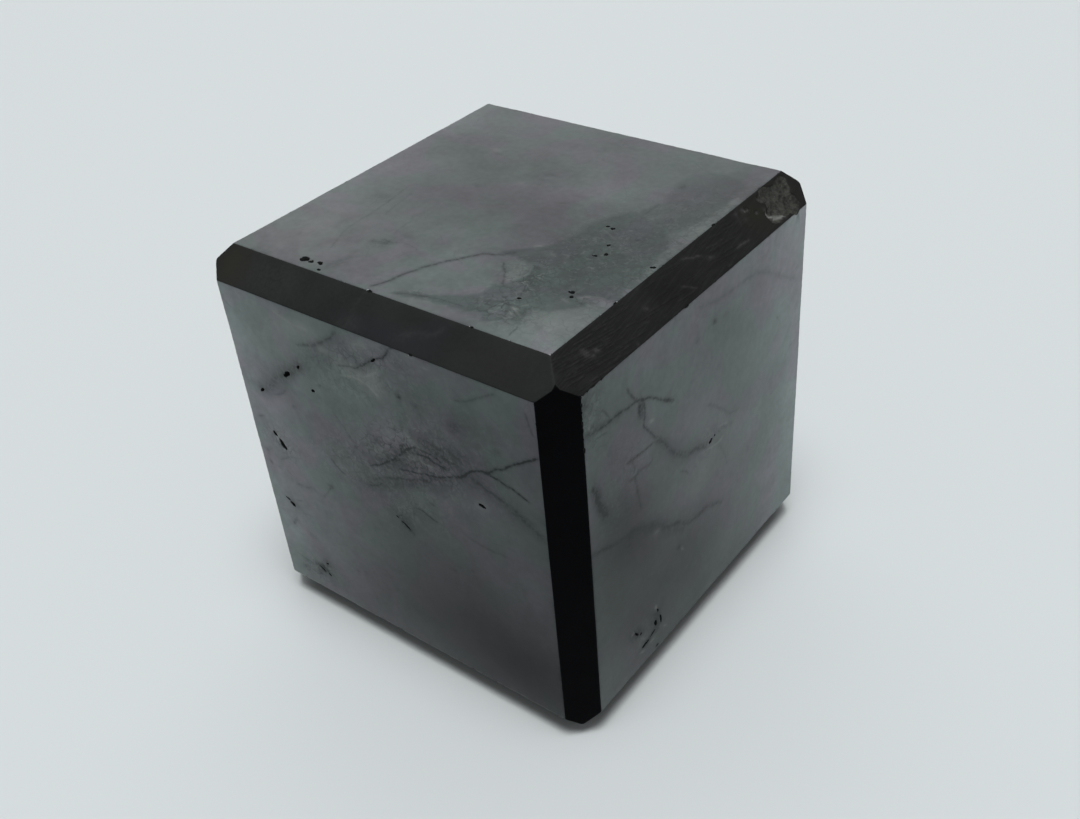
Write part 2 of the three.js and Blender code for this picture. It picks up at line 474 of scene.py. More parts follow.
@dataclass(frozen=True)
class Facet:
    """One flat piece of the block's surface.

    Attributes:
        name: What the facet is called.
        finish: How its surface was worked.
        out: The way that it looks.
        across: Its first direction.
        up: Its second direction.
        origin: The place that its flat points are measured from.
        outline: Its corners as flat points, anticlockwise.
    """

    name: str
    finish: Finish
    out: np.ndarray
    across: np.ndarray
    up: np.ndarray
    origin: np.ndarray
    outline: np.ndarray

    def placed(self, flat: np.ndarray) -> np.ndarray:
        """Flat points of the facet, as points in space."""
        return self.origin + flat[:, :1] * self.across + flat[:, 1:] * self.up

    def flattened(self, points: np.ndarray) -> np.ndarray:
        """Points in space, as flat points of the facet."""
        return (points - self.origin) @ np.stack([self.across, self.up], axis=1)


@dataclass(frozen=True)
class Hollow:
    """A pit, slit or nick: an uneven bowl sunk into the stone.

    Attributes:
        at: Its middle, in space.
        run: The way that its length lies.
        climb: The way that its width lies.
        out: Out of the stone.
        length: How long it is.
        width: How wide it is.
        depth: How deep it is.
        seed: Which uneven outline it has.
    """

    at: np.ndarray
    run: np.ndarray
    climb: np.ndarray
    out: np.ndarray
    length: float
    width: float
    depth: float
    seed: int

    def spread(self, points: np.ndarray) -> np.ndarray:
        """How far out points lie in the bowl: 0 in its middle and 1 at its rim."""
        away = points - self.at
        x = away @ self.run / (self.length / 2)
        y = away @ self.climb / (self.width / 2)
        angle = np.arctan2(y, x)
        phase = np.random.default_rng(self.seed).uniform(0, 2 * math.pi, 3)
        swell = (1 + 0.11 * np.cos(2 * angle + phase[0]) + 0.09 * np.cos(3 * angle + phase[1])
                 + 0.06 * np.cos(5 * angle + phase[2]))
        return np.hypot(x, y) / swell

    def bed(self, facet: Facet) -> Bed:
        """The points that a facet's mesh needs for the bowl, and their least spacing."""
        middle = facet.flattened(self.at[None])[0]
        length = facet.flattened((self.at + self.run)[None])[0] - middle
        turn = math.degrees(math.atan2(length[1], length[0]))
        step = min(max(0.19 * min(self.length, self.width), 0.11), 0.3)
        grown = (self.length + 5.0 * step, self.width + 5.0 * step)
        inner = ellipse_lattice(tuple(middle), grown, turn, step)
        angles = np.linspace(0, 2 * math.pi, max(14, round(2.8 * self.length / step)), False)
        ring = np.stack([self.length / 2 * np.cos(angles), self.width / 2 * np.sin(angles)], 1)
        ring = ring @ turning(turn).T
        ring /= self.spread(facet.placed(middle + ring))[:, None]
        away = ring / np.linalg.norm(ring, axis=1)[:, None]
        rims = [middle + ring + away * step * offset for offset in (0.12, -0.55)]
        return np.concatenate([*rims, inner]), 0.52 * step

    def sunk(self, points: np.ndarray) -> tuple[np.ndarray, np.ndarray]:
        """Presses points down into the bowl.

        Args:
            points: Points of the surface, one in a row.

        Returns:
            The points as they lie in the hollow, and how deep each has gone.
        """
        spread = self.spread(points)
        height = (points - self.at) @ self.out
        floor = -self.depth * np.clip(1 - spread ** 2, 0, 1) ** 0.4
        drop = np.where(spread < 1.0, np.maximum(height - floor, 0.0), 0.0)
        return points - drop[:, None] * self.out, drop


# Pits and slits that stayed open in the polish, by face:
# across and up from the face's middle, length, width, turn in degrees.
PITS = {
    Side.TOP: [
        (-24.7, -40.4, 2.5, 1.7, 0), (-22.6, -40.5, 1.1, 1.0, 20), (-20.4, -40.0, 1.6, 1.0, -20),
        (-18.6, -42.2, 1.0, 0.7, -15), (23.6, 3.2, 0.9, 0.7, 0), (25.1, 2.9, 1.1, 0.9, -40),
        (28.5, -3.6, 0.9, 0.8, 30), (30.3, -7.1, 0.9, 1.0, 0), (28.6, -8.7, 1.1, 0.7, 0),
        (41.6, -6.9, 1.2, 0.9, 20), (33.1, -23.0, 1.3, 1.1, 10), (34.1, -24.5, 0.9, 0.9, 0),
        (25.4, -30.1, 0.9, 0.7, 0),
    ],
    Side.FRONT: [
        (-26.9, 24.9, 2.7, 1.2, 35), (-22.3, 28.4, 1.3, 0.7, 40), (-37.4, 16.9, 2.0, 0.7, 35),
        (-19.0, 23.3, 1.1, 0.8, 10), (-34.8, 2.0, 3.5, 1.2, -52), (-36.8, 4.5, 1.8, 0.8, -40),
        (-36.9, -17.4, 1.9, 1.0, -20), (-38.3, -16.2, 1.7, 0.55, -25), (27.5, 11.6, 2.1, 0.75, -5),
        (2.5, 38.7, 2.0, 0.55, 35), (-31.3, -36.3, 2.6, 0.5, -28), (-28.9, -37.2, 1.1, 0.55, -20),
        (-28.9, -33.4, 1.3, 0.4, 20), (3.4, -5.2, 3.0, 0.42, -35), (0.9, -3.7, 0.9, 0.36, -30),
    ],
    Side.RIGHT: [
        (-29.6, -31.2, 2.0, 0.6, -50), (-28.0, -32.5, 0.9, 0.5, 20), (-26.3, -37.3, 2.6, 0.8, 4),
        (-23.1, -36.4, 2.0, 0.6, 20), (-21.9, -34.2, 1.0, 1.7, 10), (-19.7, -34.6, 0.5, 3.0, 8),
        (-20.9, -30.9, 1.5, 0.5, -58), (-21.5, -42.0, 1.2, 0.6, 20), (2.1, 3.0, 1.7, 0.9, 12),
        (3.9, 3.5, 0.7, 0.5, 0),
    ],
    Side.BACK: [
        (22.8, 31.5, 2.2, 1.2, 25), (25.2, 32.6, 1.2, 0.9, 0), (-31.0, 12.4, 1.4, 1.0, -30),
        (-28.4, 9.8, 2.6, 0.9, -40), (-9.5, -21.0, 1.2, 1.0, 0), (11.4, -33.6, 3.2, 1.2, 20),
        (14.6, -31.9, 1.3, 1.0, 0), (36.2, -12.1, 1.1, 0.9, 15),
    ],
    Side.LEFT: [
        (-33.6, -8.2, 1.9, 1.2, 60), (-31.9, -11.4, 1.2, 0.9, 0), (12.8, 25.6, 2.4, 1.0, -25),
        (16.4, 24.3, 1.1, 0.8, 0), (29.7, -28.4, 1.5, 1.2, 35), (-6.3, -36.2, 1.3, 0.9, 0),
        (-20.5, 33.7, 1.2, 0.8, -10),
    ],
    Side.BOTTOM: [
        (-27.3, 21.2, 2.1, 1.3, -35), (-24.4, 19.6, 1.1, 0.9, 0), (30.1, 27.5, 1.6, 1.0, 15),
        (21.8, -30.4, 2.7, 1.1, 40), (24.1, -27.6, 1.2, 0.9, 0), (-35.2, -24.9, 1.3, 1.0, 0),
    ],
}

# Nicks in the ridges where a bevel meets a face: the bevel, which of its two ridges,
# the place along the edge from its middle, length, width.
NICKS = [
    ("top_front", 0, -3.0, 1.5, 0.9), ("top_front", 0, 24.0, 1.0, 0.6),
    ("top_front", 1, 13.5, 1.2, 0.6), ("top_right", 0, 14.8, 1.5, 0.8),
    ("top_right", 0, -22.0, 1.1, 0.6), ("top_right", 1, -7.5, 1.4, 0.7),
    ("front_right", 1, 31.0, 1.3, 0.7), ("top_back", 1, 20.5, 1.7, 0.9),
    ("top_left", 1, -12.0, 1.4, 0.8), ("back_left", 0, 8.5, 2.0, 1.1),
    ("back_left", 1, -26.0, 1.2, 0.8), ("back_right", 0, -19.0, 1.5, 0.8),
    ("bottom_back", 1, -15.0, 1.8, 1.0), ("bottom_left", 1, 24.0, 1.6, 0.9),
]

# Stretches of ridge that crumbled a little under the grinding:
# the bevel, which ridge, where the stretch starts and ends, how many crumbs are gone, their size.
CRUMBLED = [
    ("front_right", 1, 33.0, 43.5, 14, 0.6), ("front_right", 1, -43.0, 33.0, 9, 0.32),
    ("front_right", 0, -43.0, 44.0, 10, 0.32), ("top_right", 1, -44.0, -36.0, 12, 0.6),
    ("top_right", 1, -36.0, 30.0, 12, 0.38), ("top_right", 0, -44.0, 44.0, 18, 0.4),
    ("top_front", 0, -44.0, 44.0, 14, 0.34), ("top_front", 1, -44.0, 44.0, 12, 0.3),
    ("top_back", 0, -43.0, 43.0, 8, 0.6), ("top_left", 0, -43.0, 43.0, 8, 0.6),
    ("front_left", 0, -43.0, 43.0, 8, 0.6), ("back_left", 1, -43.0, 43.0, 8, 0.6),
    ("back_right", 1, -43.0, 43.0, 10, 0.5), ("bottom_front", 1, -43.0, 43.0, 10, 0.5),
    ("bottom_right", 1, -43.0, 43.0, 10, 0.5),
]

# Which random crumbs they are.
CRUMB_SEED = 5

# The bevel that the scar and the torn grooves are in.
SCARRED = "top_right"

# The scar, as hollows that run together: along the bevel from its middle, up it from its
# middle, length, width, depth.
SCAR = [
    (36.2, 0.2, 9.0, 8.0, 1.0),
    (32.8, -1.6, 5.6, 4.6, 1.3),
    (35.0, 2.6, 7.0, 3.6, 0.9),
    (39.6, -2.4, 6.4, 4.4, 1.2),
    (41.0, 1.8, 6.2, 5.0, 0.8),
    (26.2, 2.8, 1.8, 1.2, 0.5),
    (28.3, 1.0, 1.4, 1.0, 0.4),
]

# The number of the first hollow's random outline.
SCAR_SEED = 301
# The chips on the scar's floor: the lowest and highest flat point that they cover, how many there
# are, and which random chips they are.
SCAR_CHIPS = ((24.0, -5.0), (47.0, 5.0), 150, 11)

# Stretches of the same bevel that a coarse grain tore: where the stretch starts and ends along
# the bevel, how many grooves there are, their slope, and how deep they are at most.
TORN = [
    (-46.0, -27.0, 44, -0.13, 0.05),
    (-40.0, -20.0, 22, -0.11, 0.04),
    (-22.0, 0.0, 12, -0.1, 0.025),
    (2.0, 20.0, 12, -0.12, 0.03),
]
# Which random grooves they are.
GROOVE_SEED = 23


@dataclass(frozen=True)
class Groove:
    """A line torn into a bevel by a coarse grain, in the bevel's flat points."""

    start: Flat
    end: Flat
    width: float
    depth: float

    def line(self) -> np.ndarray:
        """The groove's course."""
        return natural_path([self.start, self.end], False, 0.6, 0.04)

    def bed(self) -> Bed:
        """The points that a mesh needs to carry the groove, and their least spacing."""
        line = self.line()
        aside = np.array([0.0, 1.0])
        rows = [line + aside * self.width * offset for offset in (0.0, 0.6, -0.6, 1.2)]
        return np.concatenate(rows), 0.42 * self.width

    def depths(self, flat: np.ndarray) -> np.ndarray:
        """How deep the groove is at each point."""
        distance, place = distance_to_path(flat, self.line())
        length = place.max(initial=1.0)
        fade = smooth_step(np.minimum(place, length - place) / 1.5 + 0.2)
        return self.depth * fade * np.exp(-2.0 * (2 * distance / self.width) ** 2)


class Fracture:
    """The broken surface inside the scar: small flat chips, each with a tilt of its own."""

    def __init__(self, low: Flat, high: Flat, count: int, seed: int) -> None:
        """Strews the chips.

        Args:
            low: The lowest flat point that they cover.
            high: The highest flat point that they cover.
            count: How many chips there are.
            seed: Which arrangement it is.
        """
        chance = np.random.default_rng(seed)
        self.middles = chance.uniform(low, high, (count, 2))
        self.tilts = chance.normal(0.0, 0.42, (count, 2))
        self.levels = chance.normal(0.0, 0.16, count)

    def depths(self, flat: np.ndarray) -> np.ndarray:
        """How much deeper than the scar's own bowl the chips lie at each point."""
        away = flat[:, None] - self.middles[None]
        nearest = np.argmin((away ** 2).sum(axis=2), axis=1)
        own = away[np.arange(len(flat)), nearest]
        return self.levels[nearest] + (own * self.tilts[nearest]).sum(axis=1)


class Block:
    """The stone block: where its facets lie, and how they are worn, pitted and broken.

    Attributes:
        PIT_DEPTH: How deep a pit is, as a share of its width.
        NICK_DEPTH: How deep a nick is, as a share of its width.
        RIDGE_STEPS: How closely a ridge is divided beside a hollow, and elsewhere.
        WEAR: The least, the usual and the greatest radius of a worn ridge.
    """

    PIT_DEPTH = 0.8
    NICK_DEPTH = 0.45
    RIDGE_STEPS = (0.16, 0.55)
    WEAR = (0.16, 0.34, 0.7)

    def __init__(self, node: str) -> None:
        """Takes the block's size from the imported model.

        Args:
            node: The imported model's node that the block stands for.
        """
        low, high = (np.array(corner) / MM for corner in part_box(node))
        self.size = high - low
        self.middle = (high + low) / 2
        self.planes = self._planes()
        self.facets = {name: self._facet(name) for name in self.planes}
        self.hollows = self._hollows()
        self.scar = [self._scar_hollow(*place, seed)
                     for seed, place in enumerate(SCAR, SCAR_SEED)]
        self.fracture = Fracture(*SCAR_CHIPS)
        self.grooves = self._torn_grooves()
        busy = [*self.hollows, *self.scar]
        self.busy_places = np.array([hollow.at for hollow in busy])
        self.busy_reaches = np.array([0.62 * max(hollow.length, hollow.width) + 0.15
                                      for hollow in busy])

    def face_point(self, side: Side) -> np.ndarray:
        """The middle of a polished face."""
        return self.middle + side.out * float(np.abs(side.out) @ self.size) / 2

    def ridges(self, bevel: Bevel) -> tuple[np.ndarray, np.ndarray]:
        """The two ridges of a bevel, each by its point at the edge's middle."""
        first, second = bevel.first, bevel.second
        corner = self.face_point(first) + self.face_point(second) - self.middle
        return corner - second.out * bevel.reach[0], corner - first.out * bevel.reach[1]

    def _bevel_plane(self, bevel: Bevel) -> Plane:
        """The plane that a bevel was ground to."""
        length = float(np.abs(bevel.along) @ self.size)
        skew = bevel.widening * sum(bevel.reach) / 2 / length
        out = (bevel.reach[0] * bevel.first.out + bevel.reach[1] * bevel.second.out
               + skew * bevel.along)
        return Plane(unit(out), sum(self.ridges(bevel)) / 2)

    def _corner_plane(self, planes: list[Plane], flat: float) -> Plane:
        """The plane of a worn corner, from the three bevels that meet there."""
        tip = np.linalg.solve([plane.out for plane in planes], [plane.offset for plane in planes])
        out = unit(sum(plane.out for plane in planes))
        lean = math.acos(float(out @ planes[0].out))
        return Plane(out, tip - out * flat * math.tan(lean) / 2)

    def _planes(self) -> dict[str, Plane]:
        """All 26 planes by their names."""
        planes = {side.name.lower(): Plane(side.out, self.face_point(side)) for side in Side}
        planes.update({name: self._bevel_plane(bevel) for name, bevel in BEVELS.items()})
        for name, (bevels, flat) in WORN_CORNERS.items():
            planes[name] = self._corner_plane([planes[bevel] for bevel in bevels], flat)
        return planes

    def _facet(self, name: str) -> Facet:
        """The flat piece of one plane that the other planes leave."""
        plane = self.planes[name]
        if name.upper() in Side.__members__:
            side = Side[name.upper()]
            across, up, finish = side.across, side.up, Finish.POLISHED
        else:
            along = BEVELS[name].along if name in BEVELS else np.array([0.0, 0.0, 1.0])
            across = unit(along - plane.out * float(plane.out @ along))
            up = np.cross(plane.out, across)
            finish = BEVELS[name].finish if name in BEVELS else Finish.PLAIN_GROUND
            # The near worn corner takes the shaded copy, with the same painted shade as the bevel below
            # it.
            if name == "near_corner":
                finish = Finish.GROUND_PAINTED_SHADE
        reach = 2 * float(self.size.max())
        corners = [np.array(corner) * reach for corner in ((-1, -1), (1, -1), (1, 1), (-1, 1))]
        for other_name, other in self.planes.items():
            if other_name == name:
                continue
            slope = np.array([other.out @ across, other.out @ up])
            level = other.offset - float(other.out @ plane.point)
            corners = cut_outline(corners, slope, level)
        return Facet(name, finish, plane.out, across, up, plane.point, np.array(corners))

    def _hollows(self) -> list[Hollow]:
        """Every pit, nick and crumbled spot of the block."""
        hollows = []
        for side, places in PITS.items():
            facet = self.facets[side.name.lower()]
            for across, up, length, width, turn in places:
                at = facet.placed(np.array([[across, up]]))[0]
                tilt = turning(turn)
                run = facet.across * tilt[0, 0] + facet.up * tilt[1, 0]
                climb = facet.across * tilt[0, 1] + facet.up * tilt[1, 1]
                hollows.append(Hollow(at, run, climb, facet.out, length, width,
                                      self.PIT_DEPTH * width, len(hollows) + 1))
        for name, ridge, place, length, width in NICKS:
            hollows.append(self._nick(name, ridge, place, length, width, len(hollows) + 1))
        chance = np.random.default_rng(CRUMB_SEED)
        for name, ridge, start, end, count, size in CRUMBLED:
            for place in chance.uniform(start, end, count):
                length = size * chance.uniform(0.7, 1.7)
                width = size * chance.uniform(0.5, 0.9)
                hollows.append(self._nick(name, ridge, place, length, width, len(hollows) + 1))
        return hollows

    def _nick(self, name: str, ridge: int, place: float, length: float, width: float,
              seed: int) -> Hollow:
        """A nick in one of a bevel's ridges."""
        facet, bevel = self.facets[name], BEVELS[name]
        face = self.planes[(bevel.first, bevel.second)[ridge].name.lower()]
        level = float(bevel.along @ self.middle) + place
        at = np.linalg.solve([face.out, facet.out, bevel.along],
                             [face.offset, self.planes[name].offset, level])
        return Hollow(at, facet.across, facet.up, facet.out, length, width,
                      self.NICK_DEPTH * width, seed)

    def _scar_hollow(self, along: float, up: float, length: float, width: float, depth: float,
                     seed: int) -> Hollow:
        """One of the hollows that make up the scar."""
        facet = self.facets[SCARRED]
        at = facet.placed(np.array([[along, up]]))[0]
        return Hollow(at, facet.across, facet.up, facet.out, length, width, depth, seed)

    def _torn_grooves(self) -> list[Groove]:
        """The grooves of the torn stretches, each at a random place and of a random length."""
        chance = np.random.default_rng(GROOVE_SEED)
        highest = float(np.ptp(self.facets[SCARRED].outline[:, 1])) / 2 - 0.12
        grooves = []
        for start, end, count, slope, depth in TORN:
            for _ in range(count):
                near = chance.uniform(start, end - 2.0)
                far = min(near + chance.gamma(3.0, 1.6) + 1.5, end)
                level = chance.uniform(-highest, highest)
                tilt = slope + chance.normal(0.0, 0.025)
                width = chance.uniform(0.2, 0.3)
                grooves.append(Groove((near, level), (far, level + tilt * (far - near)), width,
                                      depth * chance.uniform(0.35, 1.0)))
        return grooves

    def near(self, facet: Facet) -> list[Hollow]:
        """The hollows that reach into a facet."""
        found = []
        for hollow in self.hollows:
            off = abs(float((hollow.at - facet.origin) @ facet.out))
            flat = facet.flattened(hollow.at[None])
            gap = outline_margin(facet.outline, flat)[0]
            if off < 0.3 and gap > -0.6 * max(hollow.length, hollow.width):
                found.append(hollow)
        return found

    def detail(self, point: np.ndarray) -> float:
        """How closely the ridges are divided at a place."""
        away = ((self.busy_places - point) ** 2).sum(axis=1)
        return self.RIDGE_STEPS[0 if (away < self.busy_reaches ** 2).any() else 1]

    def _worn(self, points: np.ndarray) -> np.ndarray:
        """Wears the ridges round, each by a little more or less along its way."""
        outs = np.stack([plane.out for plane in self.planes.values()])
        offsets = np.array([plane.offset for plane in self.planes.values()])
        depths = offsets - points @ outs.T
        order = np.argsort(depths, axis=1)[:, :3]
        wear = np.array([noise.noise(Vector(point) * 0.11) for point in points])
        fine = np.array([noise.noise(Vector(point) * 0.9) for point in points])
        least, usual, most = self.WEAR
        radius = np.clip(usual + 0.3 * wear + 0.16 * fine, least, most)
        nearest = np.maximum(np.take_along_axis(depths, order, axis=1), 0.0)
        share = np.clip(1 - nearest / radius[:, None], 0.0, 1.0)
        away = (outs[order] * share[:, :, None]).sum(axis=1)
        away /= np.linalg.norm(away, axis=1)[:, None]
        push = (radius[:, None] * share[:, 1:] ** 2 / 4).sum(axis=1)
        return points - away * push[:, None]

    def _scar_drop(self, points: np.ndarray) -> np.ndarray:
        """How far the scar takes each point of the surface down."""
        facet = self.facets[SCARRED]
        bowl = np.zeros(len(points))
        for hollow in self.scar:
            inside = np.clip(1 - hollow.spread(points) ** 2, 0.0, 1.0)
            bowl = np.maximum(bowl, hollow.depth * inside ** 0.45)
        height = (points - facet.origin) @ facet.out
        near = (bowl > 0.0) & (height > -2.5)
        flat = facet.flattened(points[near])
        chips = self.fracture.depths(flat)
        grains = np.array([noise.noise(Vector((*spot, 0.0)) * 1.9) for spot in flat])
        floor = -np.clip(bowl[near] + 0.4 * chips + 0.03 * grains, 0.0, None)
        drop = np.maximum(height[near] - floor, 0.0) * (bowl[near] > 0.02)
        drops = np.zeros(len(points))
        drops[near] = drop
        return drops

    def _grooved(self, points: np.ndarray) -> np.ndarray:
        """Tears the grooves into their bevel."""
        facet = self.facets[SCARRED]
        near = np.abs((points - facet.origin) @ facet.out) < 0.02
        flat = facet.flattened(points[near])
        for groove in self.grooves:
            points[near] -= groove.depths(flat)[:, None] * facet.out
        return points

    def shaped(self, base: np.ndarray) -> tuple[np.ndarray, np.ndarray, np.ndarray]:
        """Gives the flat-sided block its worn, pitted and broken surface.

        Args:
            base: Points of the flat-sided block, one in a row.

        Returns:
            The points of the stone, how deep in a hollow each one lies, and how freshly
            broken the stone is there.
        """
        points = self._grooved(base.copy())
        depth = np.zeros(len(base))
        for hollow in self.hollows:
            reach = 0.7 * max(hollow.length, hollow.width)
            near = ((base - hollow.at) ** 2).sum(axis=1) < reach ** 2
            points[near], drop = hollow.sunk(points[near])
            depth[near] += drop
        scar = self._scar_drop(points)
        points = points - scar[:, None] * self.facets[SCARRED].out
        fresh = smooth_step(scar / 0.25)
        return points + (self._worn(base) - base), depth + scar, fresh


def cut_outline(corners: list[np.ndarray], slope: np.ndarray, level: float) -> list[np.ndarray]:
    """Cuts a convex outline along a line.

    Args:
        corners: The outline's corners, anticlockwise.
        slope: The line's direction outward.
        level: How far out along it the outline may reach.

    Returns:
        The corners of what is left.
    """
    kept = []
    for start, end in zip(corners, corners[1:] + corners[:1]):
        over_start = float(slope @ start) - level
        over_end = float(slope @ end) - level
        if over_start <= 0:
            kept.append(start)
        if over_start * over_end < 0:
            kept.append(start + (end - start) * over_start / (over_start - over_end))
    return kept


def outline_margin(outline: np.ndarray, points: np.ndarray) -> np.ndarray:
    """How far inside a convex outline each point lies."""
    margin = np.full(len(points), FAR)
    for start, end in zip(outline, np.roll(outline, -1, axis=0)):
        along = unit(end - start)
        inward = np.array([-along[1], along[0]])
        margin = np.minimum(margin, (points - start) @ inward)
    return margin


class PointBed:
    """The points of one facet's mesh, each kept clear of those that were laid before it.

    Attributes:
        CELL: The side of the square cells that the points are looked up in.
        MARGIN: How far from the outline every inner point stays.
        BESIDE: The rows beside the outline: how far in each runs, and the spacing along it.
        BESIDE_GAP: The least distance between points of those rows.
    """

    CELL = 0.5
    MARGIN = 0.09
    BESIDE = ((0.14, 0.5), (0.34, 0.6), (0.62, 0.9))
    BESIDE_GAP = 0.13

    def __init__(self, facet: Facet, block: Block) -> None:
        """Lays the points along the facet's outline.

        Args:
            facet: The facet.
            block: The block that it belongs to.
        """
        self.facet = facet
        self.points: Path = []
        self.cells: dict[tuple[int, int], Path] = {}
        corners = facet.placed(facet.outline)
        for start, end in zip(corners, np.roll(corners, -1, axis=0)):
            stretch = divided_edge(start, end, block)
            for point in facet.flattened(stretch[:-1]):
                self._keep(float(point[0]), float(point[1]))
        self.ring = len(self.points)

    def _keep(self, x: float, y: float) -> None:
        """Lays one point."""
        cell = (math.floor(x / self.CELL), math.floor(y / self.CELL))
        self.cells.setdefault(cell, []).append((x, y))
        self.points.append((x, y))

    def lay(self, points: np.ndarray, gap: float) -> None:
        """Lays those points that are inside the outline and clear of all others.

        Args:
            points: Flat points, one in a row.
            gap: The least distance to any other point.
        """
        margin = outline_margin(self.facet.outline, points)
        reach = math.ceil(gap / self.CELL)
        for x, y in points[margin > self.MARGIN].tolist():
            column, row = math.floor(x / self.CELL), math.floor(y / self.CELL)
            clear = all((x - a) ** 2 + (y - b) ** 2 >= gap * gap
                        for i in range(column - reach, column + reach + 1)
                        for j in range(row - reach, row + reach + 1)
                        for a, b in self.cells.get((i, j), ()))
            if clear:
                self._keep(x, y)

    def lay_beside_edges(self) -> None:
        """Lays rows of points beside the outline, for the worn ridge to turn over."""
        for inset, step in self.BESIDE:
            rows = []
            for start, end in zip(self.facet.outline, np.roll(self.facet.outline, -1, axis=0)):
                length = float(np.linalg.norm(end - start))
                along = (end - start) / length
                inward = np.array([-along[1], along[0]])
                places = np.arange(inset, length - inset, step)
                rows.append(start + inward * inset + places[:, None] * along)
            self.lay(np.concatenate(rows), self.BESIDE_GAP)

    def lay_evenly(self, step: float, low: float = -FAR, high: float = FAR) -> None:
        """Lays points evenly over the facet, or over a stretch of it.

        Args:
            step: Their spacing.
            low: Where the stretch starts, across.
            high: Where it ends.
        """
        near, far = self.facet.outline.min(axis=0), self.facet.outline.max(axis=0)
        columns = np.arange(max(near[0], low), min(far[0], high), step)
        rows = np.arange(near[1], far[1], step * LATTICE_ROW)
        grid = [(x + 0.5 * step * (j % 2), y) for j, y in enumerate(rows) for x in columns]
        if grid:
            self.lay(np.array(grid), 0.62 * step)

    def triangles(self) -> np.ndarray:
        """Joins the points to triangles that fill the outline."""
        corners = [Vector(point) for point in self.points]
        ring = list(range(self.ring))
        found = delaunay_2d_cdt(corners, [], [ring], 1, 1e-6)
        origin = [sources[0] for sources in found[3]]
        joined = np.array([[origin[index] for index in face] for face in found[2]])
        flat = np.array(self.points)
        a, b, c = (flat[joined[:, index]] for index in range(3))
        area = (b[:, 0] - a[:, 0]) * (c[:, 1] - a[:, 1]) - (b[:, 1] - a[:, 1]) * (c[:, 0] - a[:, 0])
        joined[area < 0] = joined[area < 0][:, ::-1]
        return joined[np.abs(area) > TINY]


# An edge is first divided into stretches of at most this length, and those are then halved.
EDGE_STRETCH = 2.2


def divided_edge(start: np.ndarray, end: np.ndarray, block: Block) -> np.ndarray:
    """Divides an edge into short stretches, in the same way from either facet beside it.

    Args:
        start: The edge's first end, in space.
        end: Its other end.
        block: The block, which says where short stretches are needed.

    Returns:
        The points along the edge, from start to end.
    """
    turned = tuple(np.round(start, 3)) > tuple(np.round(end, 3))
    low, high = (end, start) if turned else (start, end)
    count = max(1, math.ceil(float(np.linalg.norm(high - low)) / EDGE_STRETCH))
    marks = [low + (high - low) * index / count for index in range(count + 1)]
    points = [marks[0]]
    for mark in marks[1:]:
        waiting = [mark]
        while waiting:
            middle = (points[-1] + waiting[-1]) / 2
            length = float(np.linalg.norm(waiting[-1] - points[-1]))
            wanted = min(block.detail(middle), block.detail(points[-1]), block.detail(waiting[-1]))
            if length > wanted:
                waiting.append(middle)
            else:
                points.append(waiting.pop())
    return np.array(points[::-1] if turned else points)


# The markings listed for each facet, across and up from its middle.
D, P, G = Shade.DARK, Shade.PALE, Shade.GREEN
U, S, T = Shade.PURPLE, Shade.SHATTERED, Shade.TONE

TOP_VEINS = (
    Vein([(-4.2, -42), (-2.9, -39.5), (-1.8, -36), (-1, -33.5), (0.2, -30.5), (1.6, -28), (3.2, -25.4),
        (4.8, -23.4), (6.2, -21.5), (7.4, -19.6), (8.8, -18.9), (10.2, -18.6), (11.5, -17.5),
        (13.5, -15.5)], 1.2, 0.42),
    Vein([(13.2, -20.2), (14.6, -21.5), (16.2, -23), (17.5, -24.7), (18.5, -26.6),
        (19.2, -27.8)], 0.8, 0.4),
    Vein([(31.3, -37.5), (31.9, -39.6), (32.2, -42.5)], 0.5, 0.3),
    Vein([(1, -42), (4, -40.4), (9, -39), (14, -38.2), (18, -38)], 0.7, 0.2),
    Vein([(-29, -3), (-28, -8), (-27.5, -13), (-27, -16), (-27, -21), (-26.5, -26), (-24.5, -31),
        (-23, -34.5)], 0.7, 0.16),
    Vein([(-26, -5), (-25, -9), (-24.5, -13), (-23.5, -17)], 0.6, 0.13),
    Vein([(-18, -13.5), (-16.5, -15.5), (-16, -20), (-15, -23)], 0.6, 0.13),
    Vein([(-14, -26), (-11, -24.5), (-8, -24.6), (-5.5, -25.5)], 0.5, 0.13),
    Vein([(23, 2), (25, 1), (27, -0.2), (29, -1)], 0.6, 0.2, P),
    Vein([(40.6, -21.6), (38, -22.2), (35.6, -23.6)], 0.6, 0.35, P),
    Vein([(26, -33.2), (28.6, -34.6), (30.4, -35.8)], 0.6, 0.4, P),
    Vein([(35, -25.5), (36.5, -25.4), (38, -26)], 0.5, 0.3),
    Vein([(27.5, 17.5), (27.6, 14.5), (27.5, 11.5)], 0.9, 0.2),
)

